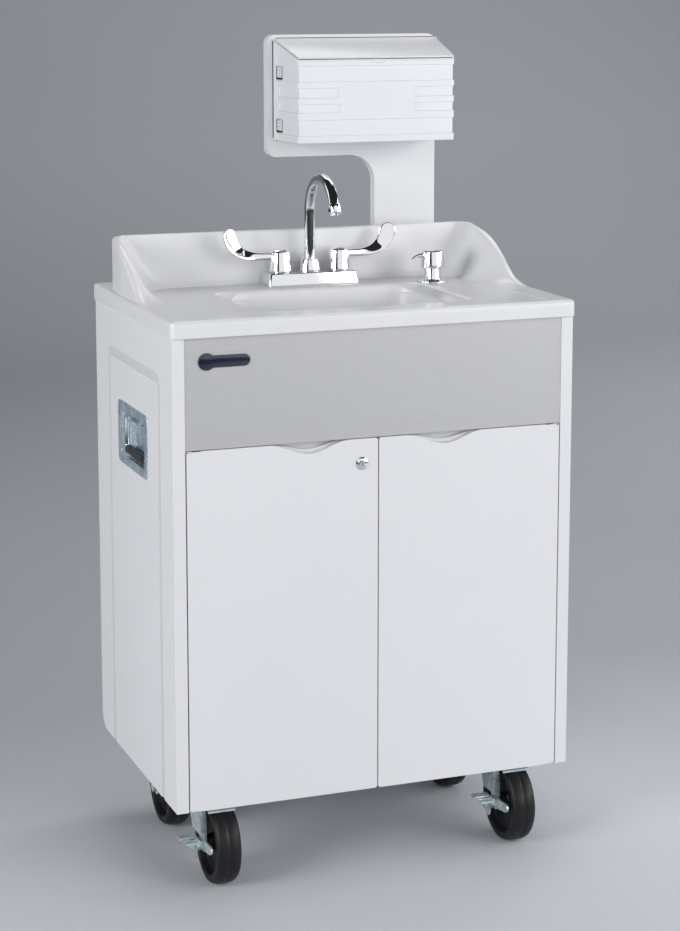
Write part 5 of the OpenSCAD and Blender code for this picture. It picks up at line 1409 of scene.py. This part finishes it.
def handle_dish(name, side):
    """The pressed dish with rivets round its flange and across its floor."""
    node = name + "_handle_dish"
    bm = copy_of(node)
    soften(bm, 0.7, 3, 40)
    half_l, half_h = DISH_L / 2 - RIVET_IN_Y, DISH_H / 2 - RIVET_IN_Z
    spots = [(half_l * (2 * k / (count - 1) - 1), z)
             for count, z in ((RIVETS_TOP, half_h), (RIVETS_FOOT, -half_h)) for k in range(count)]
    spots += [(way * (half_l + 1.5), z) for way in (-1, 1) for z in RIVETS_END_Z]
    for y, z in spots:
        rivet(bm, Vector((side * (SKIN_X + RIVET_OUT), DISH_Y + y, DISH_Z + z)), (side, 0, 0))
    for y in FLOOR_RIVETS_Y:
        at = Vector((side * DISH_FLOOR_X, DISH_Y + y, DISH_Z + FLOOR_RIVETS_Z))
        rivet(bm, at, (side, 0, 0), 3.4, 1.6)
    finished(node.title(), bm, "dish", node, 32)


def handle_bail(name, side):
    """The wire bail, and the ribbed rubber grip on its lower arm."""
    x, low = side * BAIL_X, BAIL_Z - BAIL_DROP
    corners = [(way * BAIL_HALF, z, BAIL_TURN)
               for way, z in ((-1, BAIL_Z), (1, BAIL_Z), (1, low), (-1, low))]
    path = [Vector((x, DISH_Y + y, z)) for y, z in fillet_path(corners, 8, True)]
    bm = bmesh.new()
    loft(bm, tube_rings(path + path[:2], BAIL_R, 20)[1:-1], caps=False, close=True)
    tidy(bm)
    finished(name.title() + "_Bail", bm, "chrome", name + "_handle_bail", 60)

    r, bore, end = GRIP_R, BAIL_R + 0.1, 2 * GRIP_HALF
    profile = [(bore, 0), (r - 1.5, 0), (r - 0.5, 0.4), (r, 1.4)]
    for k in range(GRIP_RIBS):
        rib = GRIP_END + (end - 2 * GRIP_END) * k / GRIP_RIBS
        profile += [(r, rib), (r - 0.7, rib + 0.5), (r - 0.7, rib + 1.3), (r, rib + 1.8)]
    profile += [(r, end - 1.4), (r - 0.5, end - 0.4), (r - 1.5, end), (bore, end), (bore, 0)]
    turned(name.title() + "_Grip", profile, Vector((x, DISH_Y - GRIP_HALF, low)), "rubber",
           name + "_handle_grip", 40, (0, 1, 0), 40)


def door_lock():
    """The lock's barrel with a domed face, and the key plug with the same dome."""
    low, high = node_box("lock_barrel")
    middle = Vector(((low.x + high.x) / 2, low.y + LOCK_PROUD, (low.z + high.z) / 2))
    deep = high.y - middle.y

    def dome(radius):
        return DOME_H - DOME_FALL * (radius / LOCK_R) ** 2

    rim = PLUG_HOLE_R + 0.1
    front = [(r, dome(r)) for r in (LOCK_R, 9.8, 9.4, 8.8, 8.0, 7.2, 6.5, rim)]
    turned("Lock_Barrel",
           [(PLUG_HOLE_R, -deep), (LOCK_BODY_R, -deep), (LOCK_BODY_R, 0), (LOCK_R, 0), *front,
            (PLUG_HOLE_R, dome(rim) - 0.1), (PLUG_HOLE_R, -deep)],
           middle, "chrome", "lock_barrel", axis=(0, -1, 0))

    bm = copy_of("lock_plug")
    for v in bm.verts:
        if v.co.y < low.y + 0.01:
            v.co.y = middle.y - dome(math.hypot(v.co.x - middle.x, v.co.z - middle.z))
    soften(bm, 0.3, 3)
    finished("Lock_Plug", bm, "chrome", "lock_plug", 30)


class SINK_OT_handles(bpy.types.Operator):
    """Make the side handles and the door lock"""

    bl_idname = "sink.handles"
    bl_label = "Handles and lock"

    def execute(self, context):
        for name, side in (("left", -1), ("right", 1)):
            handle_dish(name, side)
            handle_bail(name, side)
        door_lock()
        return {"FINISHED"}


# Casters

WHEEL_R, WHEEL_HALF = 63.5, 19.0


def caster_wheel(place):
    """A wheel turned from one profile: hub, web, rim and rounded tread."""
    low, high = node_box(place + "_wheel")
    r, h = WHEEL_R, WHEEL_HALF
    half = [(6.1, 20.5), (12.2, 20.5), (12.8, 20.1), (13.0, 19.4), (13.4, 8.0), (15.0, 6.3),
            (18.0, 6.0), (r - 17, 6.0), (r - 15.6, 6.8), (r - 14.6, 9.0), (r - 13.9, 17.4),
            (r - 13.2, 18.6), (r - 12.4, h), (r - 6.0, h), (r - 4.6, h - 0.6), (r - 3.4, h - 1.8),
            (r - 1.6, h - 4.2), (r - 0.6, h - 7.0), (r - 0.1, h - 10.0), (r, h - 13.0), (r, 0.7),
            (r - 0.35, 0.25)]
    other = [(radius, -along) for radius, along in reversed(half)]
    turned(place.title() + "_Tyre", half + other + half[:1], (low + high) / 2, "tyre",
           place + "_wheel", 40, (1, 0, 0), 128)


class SINK_OT_casters(bpy.types.Operator):
    """Make the casters with their brakes"""

    bl_idname = "sink.casters"
    bl_label = "Casters"

    def execute(self, context):
        for place in ("front_left", "front_right", "rear_left", "rear_right"):
            dressed(place + "_fork", "zinc", 0.6, 2, 25)
            dressed(place + "_axle", "zinc", 0.6)
            caster_wheel(place)
        for place in ("front_left", "front_right"):
            dressed(place + "_brake", "zinc", 0.6, 2, 25)
        dressed("caster_plates", "zinc", 0.4)
        dressed("mounting_bolts", "zinc", 0.4)
        return {"FINISHED"}


# Inside


class SINK_OT_inside(bpy.types.Operator):
    """Make the tanks, pump, heater, hoses and power inlet"""

    bl_idname = "sink.inside"
    bl_label = "Inside"

    def execute(self, context):
        for node in ("fresh_tank", "waste_tank"):
            dressed(node, "tank", 3.0, 3)
        for node, look in (("tank_caps", "cap"), ("pump", "pump"), ("water_heater", "heater"),
                           ("hoses", "cap"), ("power_inlet", "cap")):
            dressed(node, look, 0.6)
        return {"FINISHED"}


class SINK_PT_panel(bpy.types.Panel):
    """The stages' buttons and the values that they use"""

    bl_label = "Portable Sink"
    bl_space_type = "VIEW_3D"
    bl_region_type = "UI"
    bl_category = "Sink"

    def draw(self, context):
        column = self.layout.column(align=True)
        for cls in OPERATORS:
            column.operator(cls.bl_idname)
        for group in (context.scene.sink_sizes, context.scene.sink_colours):
            box = self.layout.box()
            for name in group.__annotations__:
                box.prop(group, name)


OPERATORS = (SINK_OT_stage, SINK_OT_cabinet, SINK_OT_top, SINK_OT_fittings, SINK_OT_tower,
             SINK_OT_handles, SINK_OT_casters, SINK_OT_inside)
CLASSES = (SinkSizes, SinkColours, *OPERATORS, SINK_PT_panel)


def register():
    """Brings in the classes and hangs the settings on the scene."""
    for cls in CLASSES:
        bpy.utils.register_class(cls)
    bpy.types.Scene.sink_sizes = PointerProperty(type=SinkSizes)
    bpy.types.Scene.sink_colours = PointerProperty(type=SinkColours)


def unregister():
    """Takes the classes out again, in the opposite order."""
    del bpy.types.Scene.sink_colours
    del bpy.types.Scene.sink_sizes
    for cls in reversed(CLASSES):
        bpy.utils.unregister_class(cls)


def main():
    """Makes the scene."""
    register()
    make_finishes()
    for cls in OPERATORS:
        group, name = cls.bl_idname.split(".")
        getattr(getattr(bpy.ops, group), name)()


if __name__ == "__main__":
    main()
